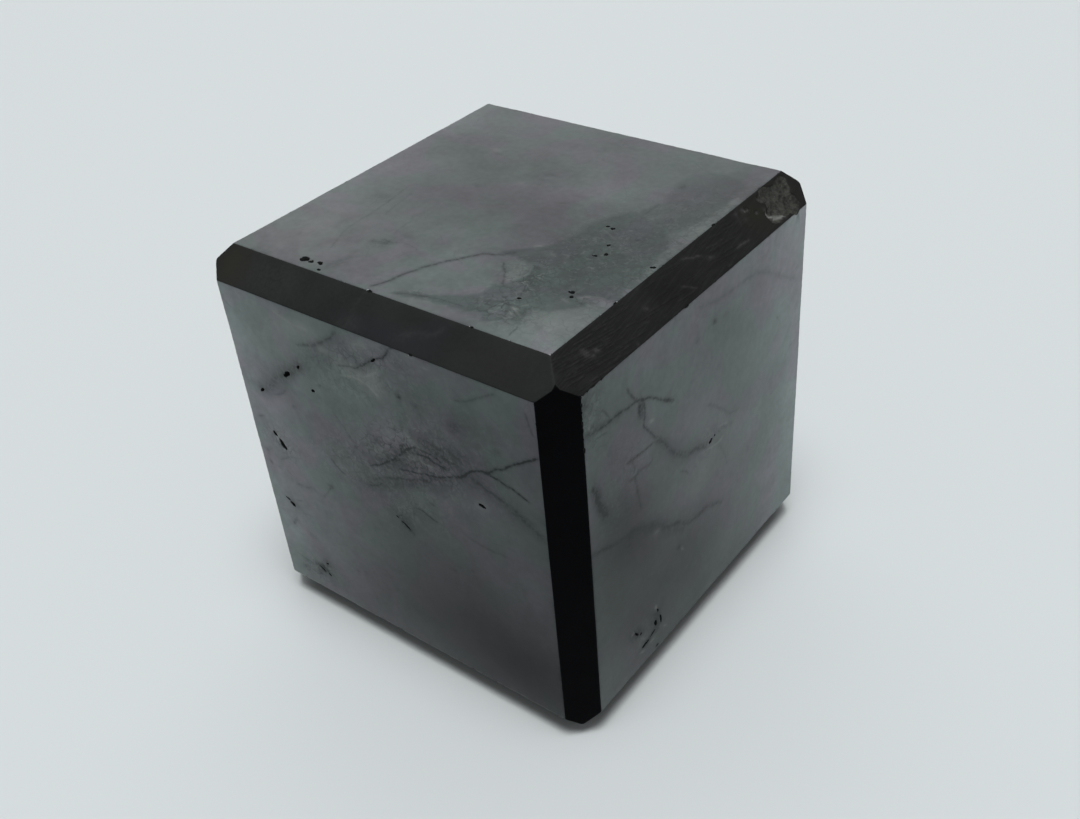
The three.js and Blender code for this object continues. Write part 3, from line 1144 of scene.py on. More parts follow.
TOP_PATCHES = (
    Patch([(10.5, -16.8), (12.5, -14.5), (15, -12.3), (17, -10.5), (19, -8), (22, -7), (26, -9), (30, -12),
        (34, -11), (37, -13), (40, -15), (42.5, -19), (43, -21), (40.5, -21.8), (37.5, -22.4),
        (35.3, -23.8), (38.2, -25.3), (38.6, -26.2), (37.2, -27.5), (35.8, -29), (33.8, -30.6),
        (31.5, -31.8), (30, -33), (30.2, -35), (31.3, -37.5), (29, -37.5), (27.5, -38.2), (25.8, -39.8),
        (24.5, -40.4), (23, -39), (21, -38.5), (19, -39.3), (15, -39.6), (11, -39.8), (7, -40.6),
        (3, -41.3), (1.5, -41.2), (4, -39.4), (7.5, -38.4), (10, -37.6), (12, -36.3), (14, -35.2),
        (16, -34), (17.4, -32.2), (17.2, -30), (17.8, -28.2), (18.8, -27.6), (20.4, -25), (21.5, -21.5),
        (19.5, -18.6), (16.5, -17.6), (13.5, -17.3)], 0.78, 0.9),
    Patch([(14.5, -13.5), (18, -9.5), (19.4, -4), (19.4, 1), (21, 6), (23.5, 10.5), (27, 11.5), (32, 9.5),
        (37, 6), (40, 0), (41.4, -8), (42, -16), (38, -16), (30, -14), (24, -12), (18, -13)], 0.74, 1.6),
    Patch([(23, 9), (25.5, 13), (27.4, 18.5), (27, 23), (25.5, 28), (26.4, 33), (29.6, 36.5), (34, 36.8),
        (38, 35), (40.2, 30), (40.5, 22), (39, 12), (36, 6), (28, 8)], 0.46, 1.4),
    Patch([(17, -40), (22, -31), (25, -28), (28, -29), (30, -33), (31, -37), (24, -40)], 0.3, 1.6),
    Patch([(18, -39), (19.5, -38.4), (22.5, -38.6), (23.4, -40), (23.6, -43.5), (18.4, -43.5)], 0.3, 1.0),
)

TOP_CLOUDS = (
    # Painted reflection and painted shade: broad lighter and darker stretches over the top, lightest at
    # its near corner, where reflections of the room are brightest.
    *clouds(T, (-46, 0, 26, 120, 0, 0.42), (42, -42, 26, 24, 0, 0.75), (34, 14, 26, 70, 0, -0.04),
        (-10, -32, 80, 36, 0, 0.26), (-5, 0, 60, 30, 0, -0.16), (0, 44, 90, 16, 0, 0.22),
        (13, 14, 28, 18, 0, 0.3), (46, 0, 12, 110, 0, 0.18)),
    *clouds(G, (4, -31, 9, 7, 60, 0.35)),
    *clouds(P, (18.5, -23.5, 4, 7, 0, 0.3), (38, -35, 15, 15, 40, 0.3), (12, -42, 20, 4, 0, 0.22),
        (41.5, 10, 3.4, 34, 0, 0.2), (41, 26, 1.4, 4, 0, 0.3), (-35, -30, 34, 34, 0, 0.3)),
    *clouds(G, (2, -12, 26, 22, 0, 0.35)),
    *clouds(U, (-8, 4, 40, 18, 20, 0.45)),
    *clouds(G, (-10, 20, 24, 22, 0, 0.4)),
    *clouds(U, (32, 24, 16, 24, 0, 0.9)),
    *clouds(D, (-14.6, -26, 4.4, 3, 20, 0.4), (-17.5, -27, 2.6, 1.6, 0, 0.25),
        (-30.2, -10, 5, 2.6, 0, 0.2), (-17.4, -38, 3.4, 8, -20, 0.22), (27.5, 27, 2, 3, 0, 0.22),
        (32.6, 1.2, 1.5, 1.1, 0, 0.35), (8.5, 7.5, 3, 0.9, 20, 0.14)),
    *clouds(P, (16, -11, 2.4, 0.9, 30, 0.4), (20.5, -12.5, 2.2, 1, -20, 0.25),
        (27, -33.5, 2.2, 1, 0, 0.45), (28, -35.5, 2.6, 1, -10, 0.45), (23.5, -36.6, 1.6, 0.8, 0, 0.3),
        (33.8, -26.2, 2.2, 0.9, -15, 0.35), (-23, 23, 3.4, 2, -20, 0.3),
        (-6.5, 11.3, 2.6, 1.8, -30, 0.22)),
    *clouds(D, (-3, 17.8, 3.4, 1.6, 25, 0.15)),
    *clouds(P, (-2, 16.3, 3, 0.9, 20, 0.16)),
    *clouds(D, (-14.7, 5, 3.4, 1.6, -30, 0.14), (-20.8, 21.4, 2.2, 1.4, 0, 0.14)),
    *clouds(G, (-21.5, -42.4, 6, 1.6, 0, 0.35)),
    *clouds(S, (22, -24, 10, 14, 30, 0.8), (25, -35, 14, 9, 0, 1.0), (36, -24, 7, 4, 0, 0.5),
        (28, -8, 26, 40, 0, 0.6), (34, 22, 16, 34, 0, 0.3), (41.5, 0, 6, 80, 0, 0.5),
        (37, -36, 14, 12, 0, 0.25), (9, -39, 14, 3, 10, 0.5)),
)

FRONT_VEINS = (
    Vein([(43.8, 30.8), (40.5, 28.6), (37.5, 26.7), (35, 24.6), (32.5, 23.2), (30.5, 21.6), (28.5, 21.2),
        (26.5, 20.3), (25, 19.3), (23.6, 17.9), (22, 16.8), (20.5, 16.4)], 0.75, 0.6),
    Vein([(28.5, 21.2), (31, 21), (33, 20.7), (34.5, 20.1), (36.5, 19.9), (38, 19.3),
        (40.5, 18.2)], 0.75, 0.55),
    Vein([(25, 18), (28, 17.2), (32, 15.9), (36, 14.4), (40, 12), (43.6, 9.8)], 1.6, 0.22),
    Vein([(20.5, 16.4), (17, 14.6), (14.5, 13.8), (12, 13.2), (9, 12.4), (6, 11.8), (4, 11.4)], 0.7, 0.42),
    Vein([(14, 12.3), (11.5, 11.2), (9, 10), (6, 9.2), (3, 8.2), (0, 7), (-2.2, 6.1),
        (-5, 4.2)], 1.3, 0.34),
    Vein([(19, 17.6), (16.5, 19.2), (14.5, 19.6), (12, 19.7), (10, 19.6), (8, 18.4), (6.2, 16.6),
        (4.8, 14.9), (3, 13.4), (1, 12), (-1, 10.4), (-3.5, 9), (-5.3, 8.2)], 0.7, 0.5),
    Vein([(19, 17.2), (17, 17.6), (15, 17.7), (13.5, 18.5), (11.5, 18.2), (9.5, 17.8), (7.5, 17.2),
        (5.8, 16)], 0.6, 0.48),
    Vein([(23, 19.8), (20, 19.7), (17.5, 20.3), (15.2, 21.2), (13, 21.6)], 1.3, 0.25),
    Vein([(24.8, 21.1), (22.5, 21.9), (20, 22.6), (17.5, 22.3), (14, 22.8), (12, 22)], 1.0, 0.25),
    Vein([(10, 44.5), (8, 43.6), (6.6, 41.5), (5.2, 40), (4.2, 39.9), (2.2, 38.6), (0.5, 37.4), (-1, 36.3),
        (-3, 35), (-6, 34.2), (-9, 33.6)], 0.75, 0.5),
    Vein([(35, 42.5), (32, 40.8), (29.5, 39.3), (27, 37.8), (25, 37), (23, 36.3)], 0.8, 0.2),
    Vein([(41.5, 41), (42.3, 38), (43.2, 35.2)], 0.8, 0.25),
    Vein([(34, 14), (37, 13), (41, 11.5)], 0.8, 0.15),
    Vein([(-7, 43.5), (-8.5, 41), (-10, 39.8), (-11.5, 38.8), (-13.5, 37.6), (-15, 36.6), (-17, 35.9),
        (-20, 35), (-21.5, 34.3)], 1.3, 0.32),
    Vein([(-38.3, 16.5), (-35.5, 18.1), (-31, 22), (-27, 25), (-24.5, 26.5), (-22.3, 28.4),
        (-20.5, 29.8)], 2.8, 0.3),
    Vein([(-8, 2), (-2, 4), (6, 8), (14, 12), (20, 15)], 4.0, 0.22),
    Vein([(-2, 10), (5, 15), (12, 20), (20, 22.6), (28, 22)], 5.0, 0.2),
    Vein([(-33.5, 17), (-31, 18), (-29.5, 19.3), (-28.5, 20.5)], 0.9, 0.22),
    Vein([(-17.5, 25), (-15.5, 26.3)], 0.7, 0.25),
    Vein([(-7.5, 2), (-5.5, 2.6), (-4, 3.2), (-2.5, 4.2), (-1, 5)], 0.6, 0.38),
    Vein([(-18.5, 5.2), (-17.5, 4.2), (-16.5, 3), (-15, 2.2), (-13.3, 1.5)], 0.7, 0.32),
    Vein([(-42, 7.5), (-39, 9)], 0.8, 0.25),
    Vein([(6.5, 1), (6.4, -1.5)], 0.6, 0.3),
    Vein([(7.5, 1.7), (9.5, 1.8), (12, 0.8), (14, 0.3)], 0.6, 0.38),
    Vein([(1.5, -4.6), (3, -5.1), (4.5, -6.3), (5.8, -7)], 1.2, 0.35),
    Vein([(0.8, -3.5), (3, -2.4)], 0.6, 0.3),
    Vein([(3.8, -2), (4.2, -0.5)], 0.6, 0.3),
    Vein([(22, 0.4), (27, -0.3), (33, 0)], 1.0, 0.14),
    Vein([(-20.3, -4.7), (-22.5, -7.5), (-24.5, -10)], 0.6, 0.22),
    Vein([(-34, -9.5), (-30, -9), (-27, -8)], 1.2, 0.2),
    Vein([(-38, -4), (-35.5, -2.5), (-33, -1), (-30, -0.5)], 0.7, 0.16),
    Vein([(-35.5, -15.5), (-32.5, -14.3)], 0.6, 0.22),
    Vein([(-36.8, -21.5), (-37.8, -23.5), (-38.8, -25.3)], 1.3, 0.35),
    Vein([(-14, 20), (-9, 13), (-7.5, 8), (-7, 4)], 0.8, 0.14),
    Vein([(-28, 42), (-22, 40), (-16, 39.8)], 0.8, 0.25, P),
    Vein([(-2, 33), (1, 34.6), (3.5, 37)], 0.7, 0.35, P),
    Vein([(-9, 31), (-5, 32), (-1, 31.4), (2, 29.5)], 0.9, 0.3, P),
    Vein([(11, 16.6), (13, 16.2), (15.5, 16.4)], 0.7, 0.45, P),
)

FRONT_PATCHES = (
    Patch([(-24.5, 27), (-21, 31), (-15.5, 36), (-9, 43.4), (-1, 43.4), (-8, 37), (-13, 32),
        (-18, 26.6)], 0.34, 2.4),
    Patch([(20, -33), (23.5, -30), (28, -29), (30, -27.5), (35, -27), (40, -26.8), (42.5, -28.5),
        (41, -30.5), (38, -33), (36, -35.5), (34, -39), (30, -38.5), (26, -37), (22, -34.5)], 0.3, 2.0),
    Patch([(-40, 17), (-37, 20), (-28, 26), (-24, 27.5), (-25, 23.5), (-30, 18.5),
        (-37, 14.5)], 0.42, 1.8),
    Patch([(-6, 38.4), (-2, 39), (2, 38.6), (1, 36.4), (-3, 35.8), (-6.5, 36.2)], 0.4, 1.2),
    Patch([(26, 44.5), (43.5, 44.5), (43.5, 5), (36, -4), (26, 4), (22, 15), (20, 24), (10, 30),
        (8, 43)], 0.2, 7.0),
)

FRONT_CLOUDS = (
    # Painted reflection and painted shade: broad stretches that make the front lighter on the left and
    # darker low on the right, as the floor that it reflects is.
    *clouds(T, (-46, 0, 26, 200, 0, 0.66), (-40, 10, 90, 130, 0, 0.2), (-44, 36, 20, 30, 0, 0.2),
        (24, -20, 84, 72, 12, -0.54), (18, -30, 80, 26, 8, -0.2), (40, -38, 50, 30, 16, -0.4),
        (2, -8, 40, 40, 0, -0.12), (30, 30, 80, 50, 0, -0.14), (46, 20, 14, 70, 0, -0.16),
        (12, 19, 36, 26, 12, 0.16), (0, -30, 44, 34, 0, -0.12), (-20, -4, 24, 30, 0, 0.12)),
    *clouds(P, (-30, 33, 22, 18, 20, 0.22)),
    *clouds(D, (9, 15.5, 30, 12, 16, 0.22)),
    *clouds(U, (9, 16, 30, 13, 14, 0.7)),
    *clouds(D, (-22, 30, 44, 7, 34, 0.12)),
    *clouds(U, (-25, 27, 34, 7, 34, 0.5)),
    *clouds(D, (30.5, 15.4, 30, 5, -16, 0.12), (-30, -34.6, 7, 1.2, 18, 0.3),
        (-30.2, -35.8, 6, 1.3, -28, 0.4), (-37, -36, 6, 1.2, -10, 0.25), (-36.6, -16.9, 4, 2.4, -20, 0.32),
        (3.6, -3.8, 6, 4.4, -40, 0.2)),
    *clouds(P, (-20, 39.5, 16, 5, 8, 0.3), (-12.8, 36, 4, 2, 0, 0.35), (-3, 32.5, 13, 5, -10, 0.35),
        (2, 33.5, 4, 9, 0, 0.25), (-1, 41, 6, 4, 0, 0.3), (13, 43.4, 5, 1.2, -5, 0.3),
        (17, 41.8, 2, 0.8, 0, 0.35), (9.5, 16.6, 5, 2.4, 10, 0.4), (10.5, 21, 6, 2.6, -15, 0.3),
        (3, 20.5, 6, 3, 30, 0.25), (-1, 14, 5, 3, 30, 0.22)),
    *clouds(D, (8.1, 31.8, 1.8, 1.6, 0, 0.55), (12.4, 31.2, 2.2, 1.4, 0, 0.2),
        (22.5, 29.7, 5, 3.6, 20, 0.3)),
    *clouds(U, (22.5, 29.5, 7, 5, 20, 0.8)),
    *clouds(D, (5.2, 22.2, 2, 1.1, 0, 0.36), (-0.5, 16.8, 3.4, 1.4, 15, 0.3), (33.5, 28.3, 3, 2, 0, 0.15),
        (-27, 16, 2.2, 1.6, 0, 0.2)),
    *clouds(P, (27.5, 11.7, 4, 3.4, 0, 0.25)),
    *clouds(D, (13, 5.2, 2.2, 0.9, -10, 0.25), (16.5, -12.2, 1.6, 1.2, 0, 0.2),
        (16.3, -16.5, 1.4, 1.4, 0, 0.16), (22, -9.5, 1.6, 1, 0, 0.14), (-20.3, -4.7, 2.6, 2.2, 0, 0.35),
        (-41.5, -2.2, 1.6, 1.6, 0, 0.3), (-41.3, -6, 1.4, 1.8, 0, 0.3), (-32, -26, 4, 3, 0, 0.16),
        (-14.5, -28.8, 1.8, 1.2, 0, 0.2), (-17.5, -29.8, 1.8, 1.2, 0, 0.2), (-29, -33, 2.8, 2.4, 0, 0.4),
        (-31, -36.3, 4.4, 3, 0, 0.4), (-33.5, -35.5, 2, 1.6, 0, 0.3), (-38, -39, 4, 3, 0, 0.32),
        (-33, -38.5, 3.4, 1.8, 0, 0.3)),
    *clouds(S, (-35, 2.5, 11, 8, -45, 0.85)),
    *clouds(P, (-34.5, 3.4, 7, 4, -45, 0.3)),
    *clouds(S, (-32, -37, 15, 8, 10, 0.75), (9, 16.5, 28, 12, 14, 1.0), (14, 18, 50, 30, 20, 0.4),
        (-12, 6, 26, 16, 0, 0.4), (6, 0, 20, 10, 0, 0.4), (-4, 35, 34, 14, 20, 0.6),
        (3, -4, 8, 7, -35, 0.4)),
    *clouds(U, (-12, 15, 22, 13, 0, 0.5), (-36, -10, 16, 44, 0, 0.7), (-38, 24, 14, 20, 0, 0.5),
        (24, -26, 64, 44, 15, 0.8), (38, 6, 12, 22, 0, 0.3), (42, 34, 5, 22, 0, 0.8)),
    *clouds(G, (5, -14, 50, 14, 18, 0.5), (-10, 28, 26, 16, 0, 0.6), (28, 32, 22, 14, 0, 0.4),
        (28, 6, 20, 10, 0, 0.4)),
)

RIGHT_VEINS = (
    Vein([(-44, 34.4), (-41, 33.5), (-38, 32.8), (-36, 32.5), (-33, 32.6), (-30, 32), (-28.5, 31.9),
        (-26, 31.5), (-24.5, 30.8), (-22, 29.7), (-20, 28.5), (-18, 27), (-15.5, 25.2),
        (-12.5, 23.3)], 0.9, 0.5),
    Vein([(-29.8, 37), (-28.5, 34.5), (-27, 32.5), (-25.8, 31.5)], 0.9, 0.4),
    Vein([(-25, 31), (-25.6, 29), (-25.5, 27.2)], 1.1, 0.34),
    Vein([(-24.2, 30.6), (-23.6, 28.4), (-23.8, 26), (-24, 23.8), (-22, 21.2), (-20.5, 19),
        (-19.5, 17.3)], 1.0, 0.42),
    Vein([(-20.5, 18.4), (-19.3, 17.3), (-17.5, 15.6), (-16, 13.5), (-14, 10.8), (-12, 8.8), (-9.5, 6.8),
        (-7.5, 5.6), (-5, 5.2), (-3.5, 4.6), (-1, 3.6), (1.5, 3)], 2.3, 0.42),
    Vein([(-31, 19), (-28.5, 18.4), (-25, 18), (-23, 17.8), (-21.5, 17.6), (-20, 17.4)], 0.9, 0.4),
    Vein([(-30.5, 14), (-28, 13.5), (-25, 13.8), (-23, 13.2), (-21, 13.8)], 1.0, 0.28),
    Vein([(-28, 14), (-27.5, 11), (-26.5, 6), (-26, 3)], 0.9, 0.24),
    Vein([(-28.6, 18.2), (-28, 16), (-28.2, 14)], 0.8, 0.22),
    Vein([(-43.2, 20.8), (-42, 20), (-41.3, 18), (-40.5, 15), (-39, 12), (-37.5, 10.5)], 1.8, 0.4),
    Vein([(-44, 34.6), (-40, 33.4), (-35, 32.6), (-31, 32.3)], 2.0, 0.34),
    Vein([(-32, 0), (-28, -1), (-25, -2.6), (-22, -4.4), (-19, -6.4)], 2.8, 0.4),
    Vein([(-19, -7), (-14, -11.5), (-9, -15)], 3.4, 0.22),
    Vein([(-44, 4.5), (-41, 3), (-39.5, 2.6), (-38, 2), (-36.5, 1.3), (-34, 0.6), (-31, 0), (-28, -0.6),
        (-26, -2), (-24, -3.5), (-21.5, -4.6), (-19.8, -5.5), (-18.5, -6.6), (-17, -8.5), (-14.5, -9.8),
        (-12, -11), (-8, -14), (-4, -15.2), (0, -15.5), (2, -16), (5, -17.5), (8, -19.5)], 1.7, 0.32),
    Vein([(-10.8, 3.2), (-8.5, 1.5), (-7, -0.3)], 0.8, 0.28),
    Vein([(-38, 37), (-36.5, 35), (-35.5, 33)], 0.8, 0.3),
    Vein([(-41, 31.5), (-38, 31), (-36.5, 30.5)], 0.7, 0.22),
    Vein([(-4, 41), (3, 39), (10, 38), (20, 37), (27, 34), (33, 30), (40, 26)], 1.6, 0.16),
    Vein([(0, 14.5), (4, 11.5), (8, 8), (10.5, 5.5), (15, 4)], 1.2, 0.18),
    Vein([(4, 3.4), (7, 3.4), (10, 2.6), (12.5, 1.6)], 1.6, 0.2),
    Vein([(5.5, 0), (8, -4), (10, -9)], 1.0, 0.14),
    Vein([(31, 20.6), (33, 18.6)], 0.9, 0.22),
    Vein([(2, 6.2), (1, 7), (0, 7.6)], 0.6, 0.3, P),
    Vein([(-1, 2), (2, 1.2), (5.5, 0.4), (8.6, 1)], 0.8, 0.35, P),
    Vein([(6, 4.6), (8, 4.2), (10, 3)], 0.6, 0.35, P),
    Vein([(-10.6, -19.4), (-9.3, -21)], 0.7, 0.3, P),
    Vein([(-43, 40), (-42, 37), (-42.4, 34)], 0.8, 0.25, P),
)

RIGHT_PATCHES = (
    Patch([(-44, 5), (-36, 2), (-28, 0.4), (-22, -3), (-17, -7.6), (-20, -12), (-27, -11.5), (-34, -7),
        (-44, -3)], 0.22, 3.5),
    Patch([(9, 9), (20, 9.5), (32, 8), (43.5, 3), (43.5, -3), (30, 0), (18, 2.4), (10, 4)], 0.2, 5.0),
    Patch([(-22, 16), (-14, 14), (-6, 7.4), (-3, 5.4), (-8, 4), (-14, 7), (-20, 13)], 0.3, 2.5),
    Patch([(-43.5, 43), (-38, 43), (-38, 35), (-43.5, 31)], 0.15, 3.0),
)

RIGHT_CLOUDS = (
    # Painted reflection and painted shade: broad stretches that make the right face darker low on the left
    # and lighter along its far edge, as the floor that it reflects is.
    *clouds(T, (-20, -26, 66, 44, -15, -0.48), (-6, -28, 52, 26, -10, -0.26), (-22, -9, 42, 14, -30, -0.2),
        (42, 38, 26, 26, 0, 0.3), (-38, 0, 32, 66, 0, -0.42), (-27, 3, 26, 24, -30, -0.24),
        (-6, -46, 100, 16, 0, -0.36), (50, 4, 48, 150, 0, 1.15), (24, 44, 70, 20, 0, 0.26),
        (28, 40, 28, 16, 0, 0.2), (42, 0, 16, 70, 0, 0.14)),
    *clouds(P, (-21.3, 23.6, 2.6, 1.2, -20, 0.5)),
    *clouds(D, (-33, 8, 15, 11, -20, 0.2), (-40.5, 16, 4, 15, 14, 0.25), (-25, 28.8, 2.4, 6, 0, 0.42),
        (-33, 25, 14, 13, 0, 0.1), (-31, -3, 24, 5, -20, 0.16), (-6, -12, 28, 5, -26, 0.12),
        (-29.4, -31.4, 6.5, 3.6, -40, 0.55), (-21.2, -33.4, 3.4, 7, 0, 0.6),
        (-24.2, -36.8, 9, 2.6, 14, 0.6), (-43, 41, 3, 4, 0, 0.35)),
    *clouds(P, (-20.5, -7.2, 2.6, 1.4, -20, 0.35)),
    *clouds(D, (-30.8, -3.3, 1.9, 1.4, 0, 0.32), (-11.7, -18.6, 2.4, 1.5, -25, 0.42),
        (3.3, 33.9, 2.6, 1.8, -15, 0.5), (7.5, 33.2, 3, 1.6, 0, 0.14), (-3.5, 33, 2.2, 1.4, 0, 0.2),
        (-15, 25, 3, 1.5, -30, 0.25)),
    *clouds(P, (-21.5, -29.6, 1.2, 2, 20, 0.5), (-23.5, -38.6, 2.4, 1, 0, 0.45),
        (-27.2, -34.6, 3, 0.8, -40, 0.3), (-27.6, -38.8, 3, 0.9, -20, 0.4),
        (-18, -38.5, 2.6, 1, -40, 0.3)),
    *clouds(S, (-24, -34.5, 16, 14, 0, 0.7), (-29, 16, 22, 20, 0, 0.4), (3, 3, 16, 8, 0, 0.5),
        (-41, 37, 7, 18, 0, 0.8)),
    *clouds(U, (-31, 25, 16, 14, 0, 0.8), (-25, 7, 12, 14, 0, 0.7), (8, -12, 26, 22, -40, 0.7),
        (28, 33, 30, 12, -15, 0.5), (22, 4, 30, 8, -8, 0.6), (-24, -8, 26, 12, -30, 0.9)),
    *clouds(G, (-6, 22, 26, 14, -20, 0.5), (-38, -14, 16, 30, 0, 0.55), (-6, -34, 30, 16, 0, 0.5),
        (16, 20, 24, 14, 0, 0.4), (-38, 26, 12, 8, 0, 0.4)),
    *clouds(P, (38, 32, 14, 28, 0, 0.25), (0, -4, 14, 9, 20, 0.16)),
)

BACK_VEINS = (
    Vein([(-44, -12), (-38, -9.5), (-33, -9), (-28, -6.6), (-22, -5.8), (-17, -3), (-13, 1.4), (-10, 6),
        (-5, 9.2), (1, 11), (6, 14.5)], 1.1, 0.42),
    Vein([(-17, -3), (-12.5, -3.8), (-7, -3.2), (-2, -5.2), (3, -5), (8.5, -7.4)], 0.7, 0.42),
    Vein([(1, 11), (5.5, 10.2), (10, 11.4), (15, 10.2), (20, 12.6), (26, 12), (33, 14.6),
        (43, 15)], 0.7, 0.36),
    Vein([(20, 12.6), (21.5, 18), (20.4, 24), (22, 30), (21, 37), (24, 43.5)], 0.8, 0.3),
    Vein([(-43, 31), (-36, 28.6), (-30, 29.4), (-23, 26.6), (-17, 27.4)], 0.8, 0.3),
    Vein([(-31, 12.6), (-28, 10), (-25.5, 6.4), (-22, 3.6)], 1.6, 0.3),
    Vein([(4, -36), (9, -34.6), (14, -32), (19, -31.4), (24, -28)], 1.4, 0.26),
    Vein([(30, -18), (33, -14.5), (37, -12), (41, -11.4)], 0.7, 0.3),
    Vein([(-8, 36), (-3, 37.6), (2, 37)], 0.8, 0.3, P),
    Vein([(-22, -3.4), (-17, -1), (-13.5, 3)], 0.7, 0.3, P),
)

BACK_PATCHES = (
    Patch([(-6, 9), (0, 12.4), (6, 15), (14, 13), (20, 14.6), (25, 11), (22, 4), (14, -1), (6, -4),
        (-3, -4.4), (-9, 1)], 0.55, 1.4),
    Patch([(-43.5, 10), (-36, 13), (-30, 12), (-27, 7.5), (-31, 3), (-38, 1), (-43.5, 3)], 0.35, 3.0),
)

BACK_CLOUDS = (
    *clouds(T, (28, -26, 50, 50, 0, -0.35), (-34, 24, 40, 50, 0, 0.25)),
    *clouds(P, (28, 32, 26, 20, 0, 0.25), (-24, -30, 30, 20, 10, 0.22), (3, 3, 9, 5, 20, 0.25),
        (11, -33, 8, 4, 20, 0.35)),
    *clouds(D, (24, 32, 6, 4, 0, 0.3), (-8, -20, 4, 3, 0, 0.28), (33, -30, 5, 3, 0, 0.22),
        (-34, 36, 3, 2, 0, 0.3)),
    *clouds(S, (8, 6, 14, 9, 0, 0.6), (11, -33, 12, 8, 0, 0.5), (-30, 10, 12, 9, 0, 0.4)),
    *clouds(U, (-26, 34, 26, 16, 0, 0.6), (24, -14, 30, 20, 0, 0.6)),
    *clouds(G, (0, -26, 30, 16, 0, 0.5), (30, 22, 22, 18, 0, 0.5)),
    *clouds(U, (-36, -26, 16, 22, 0, 0.5)),
)

LEFT_VEINS = (
    Vein([(-44, 22), (-38, 19), (-33, 18.4), (-27, 14.6), (-22, 13.4), (-17, 9), (-12, 3.4), (-8, -3),
        (-5.4, -10), (-2, -16.6), (3, -22), (5, -28), (10, -35), (11, -43)], 1.1, 0.44),
    Vein([(-22, 13.4), (-16, 14.6), (-10, 13.4), (-4, 15.6), (2, 15), (9, 18), (14, 23), (20, 26.4),
        (27, 28), (34, 33), (43, 35)], 0.8, 0.42),
    Vein([(-8, -3), (-2, -3.6), (4, -1.4), (10, -2.4), (16, 0.6), (23, 0)], 0.7, 0.3),
    Vein([(-43, -20), (-37, -21.6), (-31, -20), (-25, -22.4), (-19, -21.6)], 0.9, 0.24),
    Vein([(28, -44), (29.4, -37), (28.4, -31), (31, -25), (36, -21), (43, -19)], 0.8, 0.3),
    Vein([(-33.6, -8.6), (-32, -11.6), (-30.6, -15), (-30.2, -19)], 1.5, 0.28),
    Vein([(-26, 40), (-21, 38), (-16, 38.6)], 0.8, 0.3, P),
    Vein([(-14, 10.6), (-9, 11), (-4, 12.8)], 0.8, 0.28, P),
)

LEFT_PATCHES = (
    Patch([(-22, 14), (-15, 15.4), (-9, 14.6), (-3, 16.6), (2, 14), (1, 8), (-3, 2), (-8, -1), (-12, 4),
        (-17, 10)], 0.5, 1.6),
    Patch([(22, -44), (30, -32), (36, -23), (43.5, -20), (43.5, -44)], 0.3, 3.0),
)

LEFT_CLOUDS = (
    *clouds(T, (-24, -22, 50, 56, 20, -0.35), (30, 20, 44, 50, 0, 0.25)),
    *clouds(P, (-28, 34, 26, 16, 0, 0.25), (22, 8, 30, 18, -10, 0.22), (14, 25, 7, 4, 0, 0.3)),
    *clouds(D, (-20, -32, 4, 3, 0, 0.3), (36, 12, 4, 3, 30, 0.25), (-38, 4, 3, 2, 0, 0.28),
        (5, 38, 5, 2.4, 10, 0.22)),
    *clouds(S, (-8, 8, 14, 10, 0, 0.6), (14, 25, 10, 7, 0, 0.45), (-32, -10, 9, 9, 0, 0.45)),
    *clouds(U, (26, -8, 30, 18, 0, 0.6)),
    *clouds(G, (-28, -32, 28, 18, 0, 0.6)),
    *clouds(U, (16, 38, 30, 14, 0, 0.6)),
    *clouds(G, (-34, 8, 18, 22, 0, 0.5)),
)

BOTTOM_VEINS = (
    Vein([(-44, 4), (-37, 7.6), (-31, 8), (-24, 12.4), (-18, 13), (-11, 18), (-6, 24), (1, 27), (8, 33),
        (16, 35), (22, 43)], 1.1, 0.4),
    Vein([(-11, 18), (-5, 15.4), (2, 15.6), (9, 12), (17, 11.4), (25, 7), (34, 6.4), (43, 2)], 0.8, 0.36),
    Vein([(-30, -43), (-28, -36), (-29, -29), (-25.4, -22), (-26, -14), (-22, -7)], 0.8, 0.3),
    Vein([(12, -42), (16, -35), (22, -30.4), (27, -25), (34, -22), (40, -15)], 1.3, 0.26),
    Vein([(-3, -16), (3, -14.6), (9, -16), (14, -14.4)], 0.8, 0.28, P),
)

BOTTOM_PATCHES = (
    Patch([(-10, 19), (-4, 25), (3, 27), (9, 30), (14, 25), (12, 17), (6, 14), (-2, 15)], 0.5, 1.6),
)

BOTTOM_CLOUDS = (
    *clouds(T, (24, 24, 60, 50, 0, -0.3)),
    *clouds(P, (-26, 20, 9, 6, 0, 0.3), (26, -24, 26, 18, 0, 0.22)),
    *clouds(D, (-36, -24, 5, 4, 0, 0.28), (31, 28, 5, 4, 0, 0.28)),
    *clouds(S, (2, 21, 14, 10, 0, 0.6), (22, -29, 12, 9, 0, 0.5)),
    *clouds(U, (-20, -20, 30, 24, 0, 0.6)),
    *clouds(G, (24, 20, 30, 22, 0, 0.6)),
)

TOP_FRONT_VEINS = (
    Vein([(-3.4, 4.2), (-4.2, 2.4), (-4.6, 0.4), (-4.4, -1.6)], 1.4, 0.12, P),
    Vein([(9.5, -1.4), (12, -0.3), (14.5, 0.4), (15.6, 1.4)], 1.0, 0.14, P),
    Vein([(13.6, -0.8), (16.4, 0.6), (17.8, 2), (18.6, 3.4)], 1.4, 0.15, P),
)

TOP_FRONT_CLOUDS = (
    *clouds(G, (-42, 0, 10, 14, 0, 1.0)),
    *clouds(P, (-29, 0, 18, 12, 0, 0.14), (-4, -3, 7, 4, 0, 0.2), (10, -1.4, 6, 3, 30, 0.15)),
    *clouds(U, (5, -2.6, 26, 5, 0, 0.8), (16, 1, 9, 5, 25, 0.7)),
    *clouds(G, (34, 0, 20, 12, 0, 0.15)),
)

